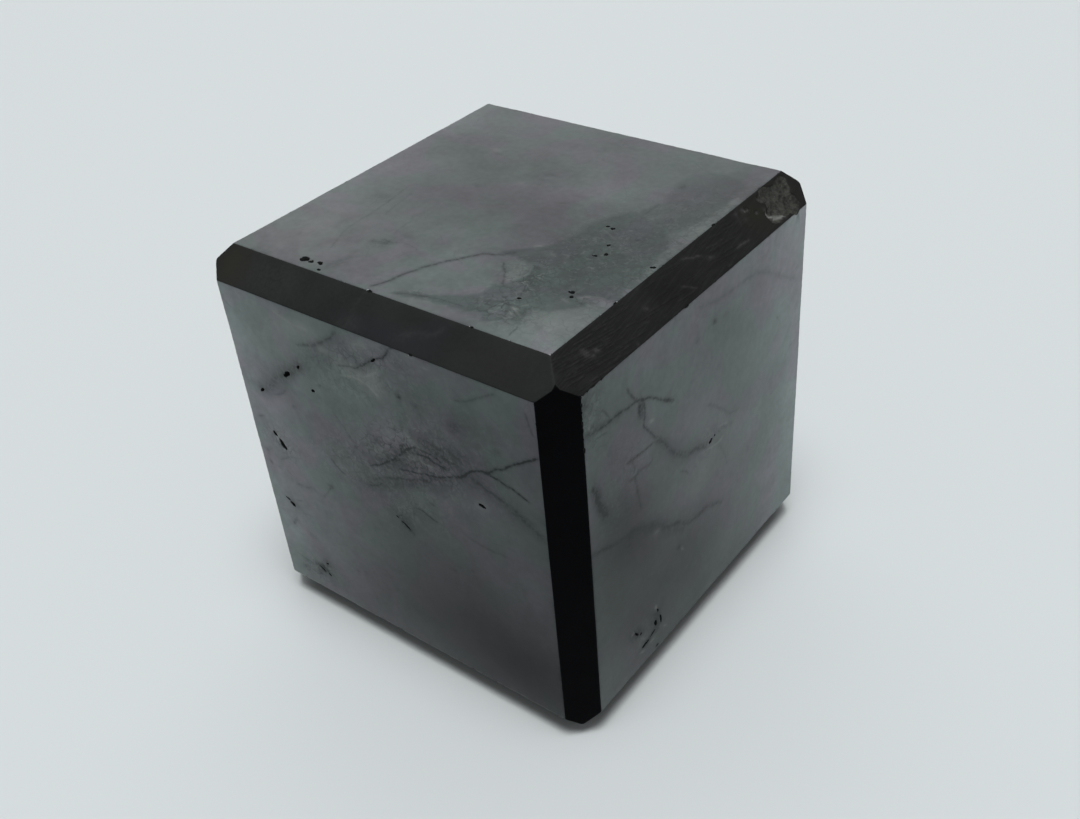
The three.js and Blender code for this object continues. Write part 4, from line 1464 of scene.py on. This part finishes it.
TOP_RIGHT_VEINS = (
    Vein([(0, 3.3), (2.5, 2.4), (4.5, 1.7), (5.8, 1.1)], 0.6, 0.8, P),
    Vein([(-5.5, -0.8), (-3.5, -1.9), (-1.8, -3.4)], 0.6, 0.45, P),
    Vein([(15, -2.3), (17.5, -2.3), (20.8, -2.5)], 0.55, 0.85, P),
    Vein([(9.4, -3.9), (12, -3.8)], 0.5, 0.4, P),
    Vein([(-21, -1.4), (-18, -2.2)], 0.5, 0.35, P),
    Vein([(7.5, 1.9), (11, 1.4), (14.5, 1.2)], 0.5, 0.3, P),
    # This pale line lies in the scar, where the broken finish shows it as a painted highlight on a lit
    # ledge.
    Vein([(30.6, 0.9), (31.2, -0.8), (32.4, -2.1), (34, -3.1), (35.4, -4.2)], 1.1, 0.95, P),
    Vein([(23, 4), (22, 2.4), (21.5, 0.6)], 0.9, 0.3, P),
)

TOP_RIGHT_CLOUDS = (
    *clouds(P, (-36.4, 1.1, 1.3, 2.0, 10, 0.95), (-35.3, -0.2, 1.2, 1.6, 20, 0.6),
        (-33.7, -0.1, 1.6, 0.9, -25, 0.95), (7.2, -0.2, 2.2, 0.8, -12, 0.9),
        (-16.8, 0.1, 1.7, 0.9, -5, 0.7), (25, 3.1, 1.7, 1.3, 0, 0.9), (22.4, 3.5, 1.6, 0.8, 0, 0.6),
        (24, 1.2, 2, 1.2, 0, 0.35)),
    *clouds(G, (27.5, 0.8, 10, 9, 0, 0.8), (38, 0, 16, 12, 0, 0.6)),
    *clouds(P, (-24.6, -4.1, 0.9, 0.6, 0, 0.7)),
    *clouds(D, (-9, 0, 12, 7, 0, 0.3)),
)

FACE_MARKS = {
    Side.TOP: Markings(TOP_VEINS, TOP_PATCHES, TOP_CLOUDS),
    Side.FRONT: Markings(FRONT_VEINS, FRONT_PATCHES, FRONT_CLOUDS),
    Side.RIGHT: Markings(RIGHT_VEINS, RIGHT_PATCHES, RIGHT_CLOUDS),
    Side.BACK: Markings(BACK_VEINS, BACK_PATCHES, BACK_CLOUDS),
    Side.LEFT: Markings(LEFT_VEINS, LEFT_PATCHES, LEFT_CLOUDS),
    Side.BOTTOM: Markings(BOTTOM_VEINS, BOTTOM_PATCHES, BOTTOM_CLOUDS),
}

BEVEL_MARKS = {
    "top_front": Markings(veins=TOP_FRONT_VEINS, clouds=TOP_FRONT_CLOUDS),
    "top_right": Markings(veins=TOP_RIGHT_VEINS, clouds=TOP_RIGHT_CLOUDS),
}


def groove_marks(grooves: list[Groove]) -> Markings:
    """The colour of the torn grooves: painted shade along each groove, with a painted highlight in a line
    just above it.

    Args:
        grooves: The bevel's grooves.

    Returns:
        The markings that go with them.
    """
    veins = []
    for groove in grooves:
        lift = 0.9 * groove.width
        painted_highlight_line = [(groove.start[0], groove.start[1] + lift), (groove.end[0], groove.end[1] + lift)]
        # Painted shade in the groove, and a painted highlight on its upper lip, stronger as the groove is
        # deeper.
        veins.append(Vein([groove.start, groove.end], groove.width, 0.55, D, 0.04))
        veins.append(Vein(painted_highlight_line, groove.width, 9.0 * groove.depth, P, 0.04))
    return Markings(veins=tuple(veins))


class StoneMesh:
    """The stone's mesh: every facet's triangles, joined at the ridges and shaped.

    Attributes:
        STEPS: The spacing of the points where nothing happens, on a polished face and elsewhere.
        SCAR_STRETCH: The points' spacing in the scar, and where along the bevel it lies.
        SUNK: How deep polished stone, and other stone, has to lie in a hollow to count as broken.
        ATLAS_SIDE: The side of the flat layout of the whole surface.
        ATLAS_PITCH: The spacing of the faces in the layout.
        ATLAS_ROW: The spacing of the bevels and of the worn corners in it.
        BEVEL_START: How far above the faces the first row of bevels lies in it.
        CORNER_START: Where the first worn corner lies in it, across and above the faces.
    """

    STEPS = (2.3, 1.5)
    SCAR_STRETCH = (0.27, 24.6, 46.5)
    SUNK = (0.07, 0.16)
    ATLAS_SIDE = 290.0
    ATLAS_PITCH = 96.0
    ATLAS_ROW = 12.0
    BEVEL_START = 7.0
    CORNER_START = (8.0, 58.0)

    def __init__(self, block: Block) -> None:
        """Meshes the block's facets.

        Args:
            block: The block.
        """
        self.block = block
        self.beds = {name: self._bed(facet) for name, facet in block.facets.items()}

    def marks_of(self, name: str) -> Markings:
        """The markings of one facet."""
        if name.upper() in Side.__members__:
            return FACE_MARKS[Side[name.upper()]]
        marks = BEVEL_MARKS.get(name, Markings())
        if name == SCARRED:
            torn = groove_marks(self.block.grooves)
            return Markings(marks.veins + torn.veins, marks.patches, marks.clouds)
        return marks

    def _bed(self, facet: Facet) -> PointBed:
        """Lays the points of one facet, the finest work first.

        Args:
            facet: The facet.

        Returns:
            The points.
        """
        bed = PointBed(facet, self.block)
        for hollow in self.block.near(facet):
            bed.lay(*hollow.bed(facet))
        if facet.name == SCARRED:
            bed.lay_evenly(*self.SCAR_STRETCH)
            for groove in self.block.grooves:
                bed.lay(*groove.bed())
        bed.lay_beside_edges()
        for points, gap in self.marks_of(facet.name).beds():
            bed.lay(points, gap)
        bed.lay_evenly(self.STEPS[facet.finish is not Finish.POLISHED])
        return bed

    def _atlas_place(self, index: int) -> np.ndarray:
        """The middle of a facet's piece in the flat layout of the whole surface.

        Args:
            index: Which facet it is, in the order of the block's facets.

        Returns:
            The place, in millimetres.
        """
        if index < len(Side):
            row, column = divmod(index, 3)
            return np.array([column + 0.5, row + 0.5]) * self.ATLAS_PITCH
        above = 2 * self.ATLAS_PITCH
        index -= len(Side)
        if index < len(BEVELS):
            row, column = divmod(index, 3)
            return np.array([(column + 0.5) * self.ATLAS_PITCH,
                             above + self.BEVEL_START + self.ATLAS_ROW * row])
        index -= len(BEVELS)
        across, up = self.CORNER_START
        return np.array([across + self.ATLAS_ROW * index, above + up])

    def build(self, name: str) -> bpy.types.Object:
        """Joins the facets' meshes and shapes them to the stone.

        Args:
            name: The name of the new object.

        Returns:
            The object, without materials.
        """
        facets = list(self.block.facets.values())
        base = np.concatenate([facet.placed(np.array(self.beds[facet.name].points))
                               for facet in facets])
        keys = np.floor(base * 1e4 + 0.3137).astype(np.int64)
        _, first, joined = np.unique(keys, axis=0, return_index=True, return_inverse=True)
        joined = joined.reshape(-1)
        points, depth, fresh = self.block.shaped(base[first])
        numbers: dict[str, np.ndarray] = {"freshness": fresh}
        triangles, slots, layout = [], [], []
        start = 0
        for index, facet in enumerate(facets):
            bed = self.beds[facet.name]
            flat = np.array(bed.points)
            own = bed.triangles()
            where = joined[start:start + len(flat)]
            rough = facet.finish is not Finish.POLISHED
            worked = "ground" if rough else "polish"
            for kind, amount in self.marks_of(facet.name).amounts(flat).items():
                held = numbers.setdefault(f"{worked}_{kind}", np.zeros(len(points)))
                held[where] = amount
            sunk = depth[where[own]].mean(axis=1) > self.SUNK[rough]
            slots.append(np.where(sunk, Finish.BROKEN.value, facet.finish.value))
            centred = flat - (facet.outline.max(axis=0) + facet.outline.min(axis=0)) / 2
            layout.append((centred + self._atlas_place(index))[own] / self.ATLAS_SIDE)
            triangles.append(where[own])
            start += len(flat)
            LOG.info("facet %s: %d points, %d triangles", facet.name, len(flat), len(own))
        return self._object(name, points, np.concatenate(triangles), np.concatenate(slots),
                            np.concatenate(layout), numbers)

    def _object(self, name: str, points: np.ndarray, triangles: np.ndarray, slots: np.ndarray,
                layout: np.ndarray, numbers: dict[str, np.ndarray]) -> bpy.types.Object:
        """Writes the mesh, in metres.

        Args:
            name: The name of the new object.
            points: The stone's points.
            triangles: The three points of each triangle.
            slots: The material slot of each triangle.
            layout: Where each triangle's corners lie in the flat layout.
            numbers: The markings' numbers at each point, by name.

        Returns:
            The object.
        """
        mesh = bpy.data.meshes.new(name)
        mesh.from_pydata((points * MM).tolist(), [], triangles.tolist())
        mesh.polygons.foreach_set("material_index", slots.astype(np.int32))
        mesh.polygons.foreach_set("use_smooth", np.ones(len(triangles), bool))
        layer = mesh.uv_layers.new(name="OFBake")
        layer.data.foreach_set("uv", layout.reshape(-1).astype(np.float32))
        for kind, values in numbers.items():
            attribute = mesh.attributes.new(kind, "FLOAT", "POINT")
            attribute.data.foreach_set("value", values.astype(np.float32))
        mesh.validate()
        mesh.update()
        piece = bpy.data.objects.new(name, mesh)
        bpy.context.scene.collection.objects.link(piece)
        LOG.info("stone: %d points, %d triangles", len(points), len(triangles))
        return piece


Socket = bpy.types.NodeSocket
Input = Socket | float | tuple[float, ...]


class Bench:
    """A node tree under way: each method adds nodes to it, and gives back their result."""

    def __init__(self, tree: bpy.types.NodeTree) -> None:
        """Takes over a tree.

        Args:
            tree: The tree that the nodes go into.
        """
        self.tree = tree

    def node(self, kind: str, feeds: dict[str | int, Input] | None = None,
             **options: str) -> bpy.types.Node:
        """Adds one node.

        Args:
            kind: Blender's name for its kind.
            feeds: The result or the plain value that each of its sockets takes.
            **options: Its options, such as its operation.

        Returns:
            The node.
        """
        node = self.tree.nodes.new(kind)
        for option, choice in options.items():
            setattr(node, option, choice)
        for socket, value in (feeds or {}).items():
            if isinstance(value, Socket):
                self.tree.links.new(value, node.inputs[socket])
            else:
                node.inputs[socket].default_value = value
        return node

    def maths(self, operation: str, first: Input, *more: Input) -> Socket:
        """Sums numbers up from the left, by an operation such as ADD.

        Args:
            operation: The operation's name.
            first: The first number.
            *more: The numbers that are taken to it, one after another.

        Returns:
            The result.
        """
        result = first
        for number in more:
            feeds = {0: result, 1: number}
            result = self.node("ShaderNodeMath", feeds, operation=operation).outputs[0]
        return result

    def added(self, *terms: Input) -> Socket:
        """The sum of some numbers."""
        return self.maths("ADD", *terms)

    def times(self, *factors: Input) -> Socket:
        """The product of some numbers."""
        return self.maths("MULTIPLY", *factors)

    def vector(self, operation: str, feeds: dict[str | int, Input],
               output: str = "Vector") -> Socket:
        """One operation on vectors, such as DOT_PRODUCT."""
        return self.node("ShaderNodeVectorMath", feeds, operation=operation).outputs[output]

    def blend(self, value: Input, low: float, high: float, start: float = 0.0,
              end: float = 1.0) -> Socket:
        """A soft step from start, at low, to end, at high.

        Args:
            value: The number that is stepped.
            low: Where the step begins.
            high: Where it is done.
            start: The result before it.
            end: The result after it.

        Returns:
            The result.
        """
        feeds = dict(enumerate((value, low, high, start, end)))
        return self.node("ShaderNodeMapRange", feeds, interpolation_type="SMOOTHSTEP").outputs[0]


class Recipe(Bench):
    """A material under way."""

    def __init__(self, name: str) -> None:
        """Starts an empty material.

        Args:
            name: The material's name.
        """
        self.material = bpy.data.materials.new(name)
        self.material.use_nodes = True
        super().__init__(self.material.node_tree)
        self.tree.nodes.clear()
        self.place = self.node("ShaderNodeTexCoord").outputs["Object"]

    def number(self, kind: str) -> Socket:
        """One of the mesh's numbers, by its name."""
        return self.node("ShaderNodeAttribute", attribute_name=kind).outputs["Fac"]

    def cloudiness(self, size: float, detail: float = 3.0, place: Socket | None = None,
                   unrest: float = 0.0, output: str = "Fac") -> Socket:
        """Soft random spots.

        Args:
            size: How large they are, in millimetres.
            detail: How much finer detail they have.
            place: Where to look them up, if not at the point itself.
            unrest: How far they are drawn out of shape.
            output: Fac for one number around one half, or Color for three.

        Returns:
            The spots.
        """
        feeds = {"Vector": place or self.place, "Scale": 1.0 / (size * MM), "Detail": detail,
                 "Distortion": unrest}
        return self.node("ShaderNodeTexNoise", feeds).outputs[output]

    def web(self, size: float, unrest: float) -> Socket:
        """The distance to the nearest line of a random web, in cell sizes.

        Args:
            size: How large the web's cells are, in millimetres.
            unrest: How far its lines stray, in millimetres.

        Returns:
            The distance.
        """
        shift = self.cloudiness(size, output="Color")
        place = self.vector("MULTIPLY_ADD", {0: shift, 1: (unrest * MM,) * 3, 2: self.place})
        feeds = {"Vector": place, "Scale": 1.0 / (size * MM)}
        return self.node("ShaderNodeTexVoronoi", feeds, feature="DISTANCE_TO_EDGE").outputs["Distance"]

    def drawn_out(self, direction: Triple, share: float) -> Socket:
        """The point's place with one direction pressed together, which draws spots out along it.

        Args:
            direction: The direction, at length one.
            share: What is left of lengths along it.

        Returns:
            The place.
        """
        along = self.vector("DOT_PRODUCT", {0: self.place, 1: direction}, "Value")
        shift = self.shaded(direction, self.times(along, share - 1.0))
        return self.vector("ADD", {0: self.place, 1: shift})

    def colour(self, share: Input, first: Input, second: Input, way: str = "MIX") -> Socket:
        """Mixes two colours.

        Args:
            share: How much of the second colour there is.
            first: The first colour.
            second: The second colour.
            way: How they are mixed.

        Returns:
            The mixed colour.
        """
        feeds = {"Factor": share, 6: opaque(first), 7: opaque(second)}
        return self.node("ShaderNodeMix", feeds, data_type="RGBA", blend_type=way).outputs[2]

    def shaded(self, colour: Input, value: Input) -> Socket:
        """A colour made darker or lighter by a number around one."""
        return self.vector("SCALE", {0: colour, "Scale": value})

    def bump(self, height: Input, strength: float, depth: float) -> Socket:
        """A surface's small unevenness.

        Args:
            height: How high each place stands, from 0 to 1.
            strength: How much of it shows.
            depth: How much height 1 is, in millimetres.

        Returns:
            The uneven surface's direction.
        """
        feeds = {"Strength": strength, "Distance": depth * MM, "Height": height}
        return self.node("ShaderNodeBump", feeds).outputs["Normal"]

    def finish(self, colour: Input, metallic: float, roughness: Input, specular: float,
               normal: Socket) -> bpy.types.Material:
        """Ends the material with its shader.

        Args:
            colour: The base colour.
            metallic: How metal-like the shine is.
            roughness: How blurred the shine is.
            specular: The strength of the plain shine.
            normal: The surface's direction.

        Returns:
            The material.
        """
        feeds = {"Base Color": opaque(colour), "Metallic": metallic, "Roughness": roughness,
                 "Specular IOR Level": specular, "Normal": normal}
        shader = self.node("ShaderNodeBsdfPrincipled", feeds)
        self.node("ShaderNodeOutputMaterial", {"Surface": shader.outputs[0]})
        return self.material


def opaque(colour: Input) -> Input:
    """A plain colour with the fourth number that Blender wants; a result stays as it is."""
    return (*colour, 1.0) if isinstance(colour, tuple) else colour


@dataclass(frozen=True)
class PolishedStone:
    """The flat faces: dark stone under a dull metallic polish, with veins and clouds.

    Attributes:
        green: The colour of the greenish stone.
        purple: The colour of the purplish stone.
        patch: What a patch multiplies the colour by.
        pale: The colour of pale flecks.
        hairline: The colour of the web of hairlines.
        dark: The colour of the dark veins.
        least_tone: How dark the tone clouds, painted shade included, may make the stone, as a share.
        metallic: How metal-like the polish's shine is.
        roughness: How blurred it is.
        shine: How strong the plain shine over it is.
    """

    green: Triple = (0.097, 0.12, 0.114)
    purple: Triple = (0.111, 0.107, 0.12)
    patch: Triple = (0.5, 0.6, 0.57)
    pale: Triple = (0.22, 0.235, 0.222)
    hairline: Triple = (0.03, 0.034, 0.036)
    dark: Triple = (0.006, 0.009, 0.01)
    least_tone: float = 0.06
    metallic: float = 0.75
    roughness: float = 0.36
    shine: float = 0.3

    def material(self) -> bpy.types.Material:
        """Builds the material."""
        recipe = Recipe("polished_stone")
        broad = recipe.cloudiness(22.0, 4.0, unrest=0.6)
        middle = recipe.cloudiness(6.0, 4.0, unrest=0.8)
        fine = recipe.cloudiness(1.6, 4.0)
        hue = recipe.blend(recipe.cloudiness(15.0, 3.0, unrest=1.0), 0.36, 0.64)
        hue = recipe.maths("SUBTRACT", hue, recipe.number("polish_purpleness"))
        hue = recipe.blend(recipe.added(hue, recipe.number("polish_greenness")), -0.25, 1.25)
        colour = recipe.colour(hue, self.purple, self.green)
        tone = recipe.added(recipe.blend(broad, 0.3, 0.7, 0.86, 1.12),
                            recipe.blend(middle, 0.3, 0.7, -0.09, 0.09),
                            recipe.blend(fine, 0.25, 0.75, -0.075, 0.075))
        # The tone clouds: on the top, front and right faces they paint the broad light and shade of the
        # room's reflections into the colour.
        lightness_with_painted_reflection = recipe.added(recipe.number("polish_tone"), 1.0)
        lightness_with_painted_reflection = recipe.maths("MAXIMUM", lightness_with_painted_reflection, self.least_tone)
        colour = recipe.shaded(colour, recipe.times(tone, lightness_with_painted_reflection))
        patch = recipe.times(recipe.number("polish_patch"), recipe.blend(fine, 0.25, 0.75, 0.8, 1.1))
        colour = recipe.colour(patch, colour, recipe.colour(1.0, colour, self.patch, "MULTIPLY"))
        colour = self._shattered(recipe, colour, fine, lightness_with_painted_reflection)
        broken = recipe.blend(recipe.cloudiness(0.9, 2.0), 0.36, 0.6, 1.0, 1.75)
        # Dark veins are drawn darker where the tone is low, and so darker under the painted shade.
        deepened = recipe.blend(lightness_with_painted_reflection, 0.3, 1.1, 1.6, 1.0)
        dark = recipe.times(recipe.number("polish_darkness"), broken, deepened)
        colour = recipe.colour(recipe.maths("MINIMUM", dark, 0.94), colour, self.dark)
        pale = recipe.times(recipe.number("polish_paleness"),
                            recipe.blend(middle, 0.3, 0.7, 0.55, 1.1))
        colour = recipe.colour(pale, colour, self.pale)
        roughness = recipe.added(recipe.blend(middle, 0.3, 0.7, -0.03, 0.04), self.roughness)
        normal = recipe.bump(middle, 0.12, 0.02)
        return recipe.finish(colour, self.metallic, roughness, self.shine, normal)

    def _shattered(self, recipe: Recipe, colour: Socket, fine: Socket,
                   lightness_with_painted_reflection: Socket) -> Socket:
        """Lays the web of hairlines over the stone: faint all over, and dense where it shattered.

        Args:
            recipe: The material under way.
            colour: The stone's colour.
            fine: Fine random spots.
            lightness_with_painted_reflection: How light the stone is all round, with the painted
                reflection and painted shade of the tone clouds.

        Returns:
            The colour with the web.
        """
        shatter = recipe.number("polish_shatter")
        mottle = recipe.blend(recipe.cloudiness(3.2, 5.0, unrest=1.2), 0.36, 0.64, -0.3, 0.16)
        mottle = recipe.times(mottle, recipe.maths("MINIMUM", shatter, 1.0))
        colour = recipe.shaded(colour, recipe.added(mottle, 1.0))
        threads = recipe.blend(recipe.web(2.0, 2.2), 0.02, 0.12, 1.0, 0.0)
        threads = recipe.times(threads, recipe.blend(fine, 0.36, 0.58), shatter, 0.85)
        colour = recipe.colour(threads, colour, self.hairline)
        flecks = recipe.blend(recipe.cloudiness(1.9, 5.0, unrest=1.5), 0.57, 0.66)
        flecks = recipe.times(flecks, shatter, 0.36, recipe.maths("MINIMUM", lightness_with_painted_reflection, 1.0))
        colour = recipe.colour(flecks, colour, self.pale)
        hair = recipe.blend(recipe.web(14.0, 12.0), 0.0, 0.022, 1.0, 0.0)
        broken = recipe.blend(recipe.cloudiness(7.0, 2.0), 0.52, 0.62)
        return recipe.colour(recipe.times(hair, broken, 0.16), colour, self.hairline)


@dataclass(frozen=True)
class GroundStone:
    """A bevel: ground but not polished, so nearly black, with the grinding's streaks.

    Attributes:
        name: The material's name.
        tone: The colour of the ground stone; in the copies for the two upper near bevels it holds painted
            light, and in the copy for the near upright bevel painted shade.
        grain: The direction of the grinding.
        streaks: How much the streaks show.
        roughness: How blurred the shine is.
        shine: How strong it is.
        tints: What each kind of marking multiplies the colour by.
    """

    name: str
    tone: Triple
    grain: Triple
    streaks: float
    roughness: float = 0.62
    shine: float = 0.09
    tints: tuple[tuple[str, Triple], ...] = (
        ("greenness", (1.22, 1.16, 0.92)),
        ("purpleness", (1.02, 0.98, 1.22)),
        ("darkness", (0.3, 0.3, 0.3)),
        ("paleness", (3.4, 3.4, 3.3)),
    )

    def material(self) -> bpy.types.Material:
        """Builds the material."""
        recipe = Recipe(self.name)
        broad = recipe.cloudiness(12.0, 3.0, unrest=0.6)
        fine = recipe.cloudiness(0.8, 3.0)
        streak = recipe.cloudiness(0.34, 2.0, recipe.drawn_out(self.grain, 0.05))
        tone = recipe.added(recipe.blend(broad, 0.3, 0.7, 0.88, 1.1),
                            recipe.blend(fine, 0.3, 0.7, -0.06, 0.06),
                            recipe.times(recipe.blend(streak, 0.42, 0.72, -0.35, 1.0), self.streaks))
        colour = recipe.shaded(self.tone, tone)
        for kind, tint in self.tints:
            share = recipe.number("ground_" + kind)
            if kind == "paleness":
                share = recipe.times(share, recipe.blend(fine, 0.3, 0.7, 0.5, 1.1))
            tinted = tuple(own * part for own, part in zip(tint, self.tone))
            colour = recipe.colour(share, colour, tinted)
        normal = recipe.bump(recipe.added(recipe.times(streak, 0.8), fine), 0.35, 0.05)
        return recipe.finish(colour, 0.0, self.roughness, self.shine, normal)


@dataclass(frozen=True)
class BrokenStone:
    """Stone that the polish never reached: matt black in old pits, grey and grainy if fresh.

    Attributes:
        old: The colour inside old pits.
        fresh: The colour of the fresh break.
        grain: The colour of its light grains.
        ledge: The colour of the painted highlight on its palest ledges, where they face the light.
        roughness: How blurred the shine is.
        shine: How strong it is.
    """

    old: Triple = (0.0055, 0.006, 0.006)
    fresh: Triple = (0.033, 0.0335, 0.0285)
    grain: Triple = (0.085, 0.087, 0.08)
    ledge: Triple = (0.19, 0.192, 0.182)
    roughness: float = 0.78
    shine: float = 0.16

    def material(self) -> bpy.types.Material:
        """Builds the material."""
        recipe = Recipe("broken_stone")
        spots = recipe.cloudiness(0.9, 3.0)
        grains = recipe.blend(recipe.cloudiness(0.32, 2.0), 0.55, 0.7)
        fresh = recipe.shaded(self.fresh, recipe.blend(spots, 0.3, 0.7, 0.6, 1.35))
        fresh = recipe.colour(recipe.times(grains, 0.4), fresh, self.grain)
        # Pale marks on broken stone take the painted highlight of a lit ledge.
        pale = recipe.times(recipe.number("ground_paleness"), 0.85)
        fresh = recipe.colour(pale, fresh, self.ledge)
        old = recipe.shaded(self.old, recipe.blend(spots, 0.3, 0.7, 0.6, 1.5))
        colour = recipe.colour(recipe.number("freshness"), old, fresh)
        normal = recipe.bump(recipe.cloudiness(0.45, 3.0), 0.6, 0.12)
        return recipe.finish(colour, 0.0, self.roughness, self.shine, normal)


@dataclass(frozen=True)
class ShungiteCube:
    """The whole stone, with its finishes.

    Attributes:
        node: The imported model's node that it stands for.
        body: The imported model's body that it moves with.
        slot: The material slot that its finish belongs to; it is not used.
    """

    node: str = NODE
    body: str = "root"
    slot: str = "polished_stone"

    def finishes(self) -> dict[Finish, PolishedStone | GroundStone | BrokenStone]:
        """The stone's finishes, by the work that made them."""
        return {
            Finish.POLISHED: PolishedStone(),
            # Lit copies of ground stone for the two upper near bevels: their tones, above the plain
            # ground's, are painted light.
            Finish.SMOOTH_GROUND_PAINTED_LIGHT: GroundStone("smooth_ground_painted_light", (0.0168, 0.0178, 0.0174),
                                              (1.0, 0.0, 0.0), 0.03),
            Finish.SCRATCHED_GROUND_PAINTED_LIGHT: GroundStone("scratched_ground_painted_light", (0.0126, 0.0126, 0.0125),
                                                 (-0.1, 0.99, 0.1), 0.3),
            # The shaded copy for the near upright bevel: its near-black tone is painted shade.
            Finish.GROUND_PAINTED_SHADE: GroundStone("ground_painted_shade", (0.0019, 0.0019, 0.0024),
                                             (0.0, 0.0, 1.0), 0.08, 0.5, 0.02),
            Finish.PLAIN_GROUND: GroundStone("plain_ground", (0.005, 0.0052, 0.0052),
                                             (0.577, 0.577, 0.577), 0.05, 0.8, 0.01),
            Finish.BROKEN: BrokenStone(),
        }

    def build(self) -> bpy.types.Object:
        """Meshes the stone, dresses it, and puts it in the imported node's place.

        Returns:
            The stone.
        """
        stone = StoneMesh(Block(self.node)).build(self.node + "_stone")
        finishes = self.finishes()
        for finish in Finish:
            stone.data.materials.append(finishes[finish].material())
        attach(stone, self.body)
        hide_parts(self.node)
        return stone


@dataclass(frozen=True)
class Glow:
    """A soft round spot of light in the room, far away.

    Attributes:
        middle: The direction of its middle, at length one.
        rim: The cosine of the angle from its middle to its rim.
        strength: How bright its middle is.
    """

    middle: Triple
    rim: float
    strength: float

    def brightness(self, bench: Bench) -> Socket:
        """The spot's brightness in each direction."""
        way = bench.node("ShaderNodeTexCoord").outputs["Generated"]
        toward = bench.vector("DOT_PRODUCT", {0: way, 1: self.middle}, "Value")
        return bench.blend(toward, self.rim, 1.0, 0.0, self.strength)


@dataclass(frozen=True)
class Studio:
    """A plain pale floor in soft light, and the camera.

    Attributes:
        floor_side: The floor's length and width, in metres.
        floor_drop: How far below the stone it lies, in millimetres, so that the two don't blend.
        floor_colour: Its colour.
        sky: The colour of the light from all round.
        room_light: How bright the room is all round.
        lamp: The soft lamp above.
        wall: The pale wall behind the stone.
        lens: The camera's focal length, in millimetres.
        film: The width of its picture, in millimetres.
        clip: The nearest and farthest places that it sees, in metres.
        azimuth: How far round the stone the camera stands, in degrees.
        elevation: How far it looks down, in degrees.
        roll: How far it is tilted to a side, in degrees.
        distance: How far it stands from the stone's middle, in millimetres.
        shift: How far it stands to the right and up, in its own picture, in millimetres.
    """

    floor_side: float = 6.0
    floor_drop: float = 0.05
    floor_colour: Triple = (0.6, 0.628, 0.632)
    sky: Triple = (0.955, 0.975, 0.98)
    room_light: float = 0.27
    lamp: Glow = Glow((0.11, -0.11, 0.988), 0.95, 16.8)
    wall: Glow = Glow((-0.545, 0.64, 0.541), 0.7, 0.6)
    lens: float = 40.0
    film: float = 36.0
    clip: tuple[float, float] = (0.01, 50.0)
    azimuth: float = 40.40
    elevation: float = 35.92
    roll: float = -5.33
    distance: float = 296.7
    shift: Flat = (2.37, -4.82)

    def build_floor(self) -> bpy.types.Object:
        """The floor that the stone rests on."""
        half = self.floor_side / 2
        corners = [(x, y, -self.floor_drop * MM)
                   for x, y in ((-half, -half), (half, -half), (half, half), (-half, half))]
        mesh = bpy.data.meshes.new("floor")
        mesh.from_pydata(corners, [], [(0, 1, 2, 3)])
        floor = bpy.data.objects.new("floor", mesh)
        bpy.context.scene.collection.objects.link(floor)
        recipe = Recipe("floor")
        normal = recipe.bump(recipe.cloudiness(3.0), 0.02, 0.02)
        mesh.materials.append(recipe.finish(self.floor_colour, 0.0, 0.6, 0.2, normal))
        return floor

    def light(self) -> None:
        """Fills the room with soft light: a lamp overhead, a pale wall behind, and dim air."""
        world = bpy.data.worlds.new("studio")
        world.use_nodes = True
        bench = Bench(world.node_tree)
        background = world.node_tree.nodes["Background"]
        background.inputs["Color"].default_value = opaque(self.sky)
        total = bench.added(self.lamp.brightness(bench), self.wall.brightness(bench),
                            self.room_light)
        world.node_tree.links.new(total, background.inputs["Strength"])
        bpy.context.scene.world = world
        bpy.context.scene.view_settings.view_transform = "Standard"

    def build_camera(self, middle: np.ndarray) -> bpy.types.Object:
        """The camera, at the photograph's viewing angle.

        Args:
            middle: The stone's middle, in millimetres.

        Returns:
            The camera.
        """
        around, above, roll = map(math.radians, (self.azimuth, self.elevation, self.roll))
        back = Vector((math.sin(around) * math.cos(above), -math.cos(around) * math.cos(above),
                       math.sin(above)))
        level = Vector((0.0, 0.0, 1.0)).cross(back).normalized()
        upright = back.cross(level)
        right = math.cos(roll) * level + math.sin(roll) * upright
        up = math.cos(roll) * upright - math.sin(roll) * level
        place = (Vector(middle) + back * self.distance + right * self.shift[0]
                 + up * self.shift[1]) * MM
        data = bpy.data.cameras.new("camera")
        data.lens = self.lens
        data.sensor_width = self.film
        data.clip_start, data.clip_end = self.clip
        camera = bpy.data.objects.new("camera", data)
        turn = Matrix((right, up, back)).transposed().to_4x4()
        camera.matrix_world = Matrix.Translation(place) @ turn
        bpy.context.scene.collection.objects.link(camera)
        bpy.context.scene.camera = camera
        return camera


def main() -> None:
    """Builds the stone and its studio, and reports each piece."""
    logging.basicConfig(level=logging.INFO, format="%(name)s: %(message)s")
    noise.seed_set(WANDER_SEED)
    stone = ShungiteCube().build()
    LOG.info("built %s, in place of %s", stone.name, NODE)
    studio = Studio()
    floor = studio.build_floor()
    LOG.info("built %s", floor.name)
    studio.light()
    low, high = CAD_BOX
    camera = studio.build_camera((np.array(low) + np.array(high)) / 2 / MM)
    LOG.info("set up %s", camera.name)


if __name__ == "__main__":
    main()
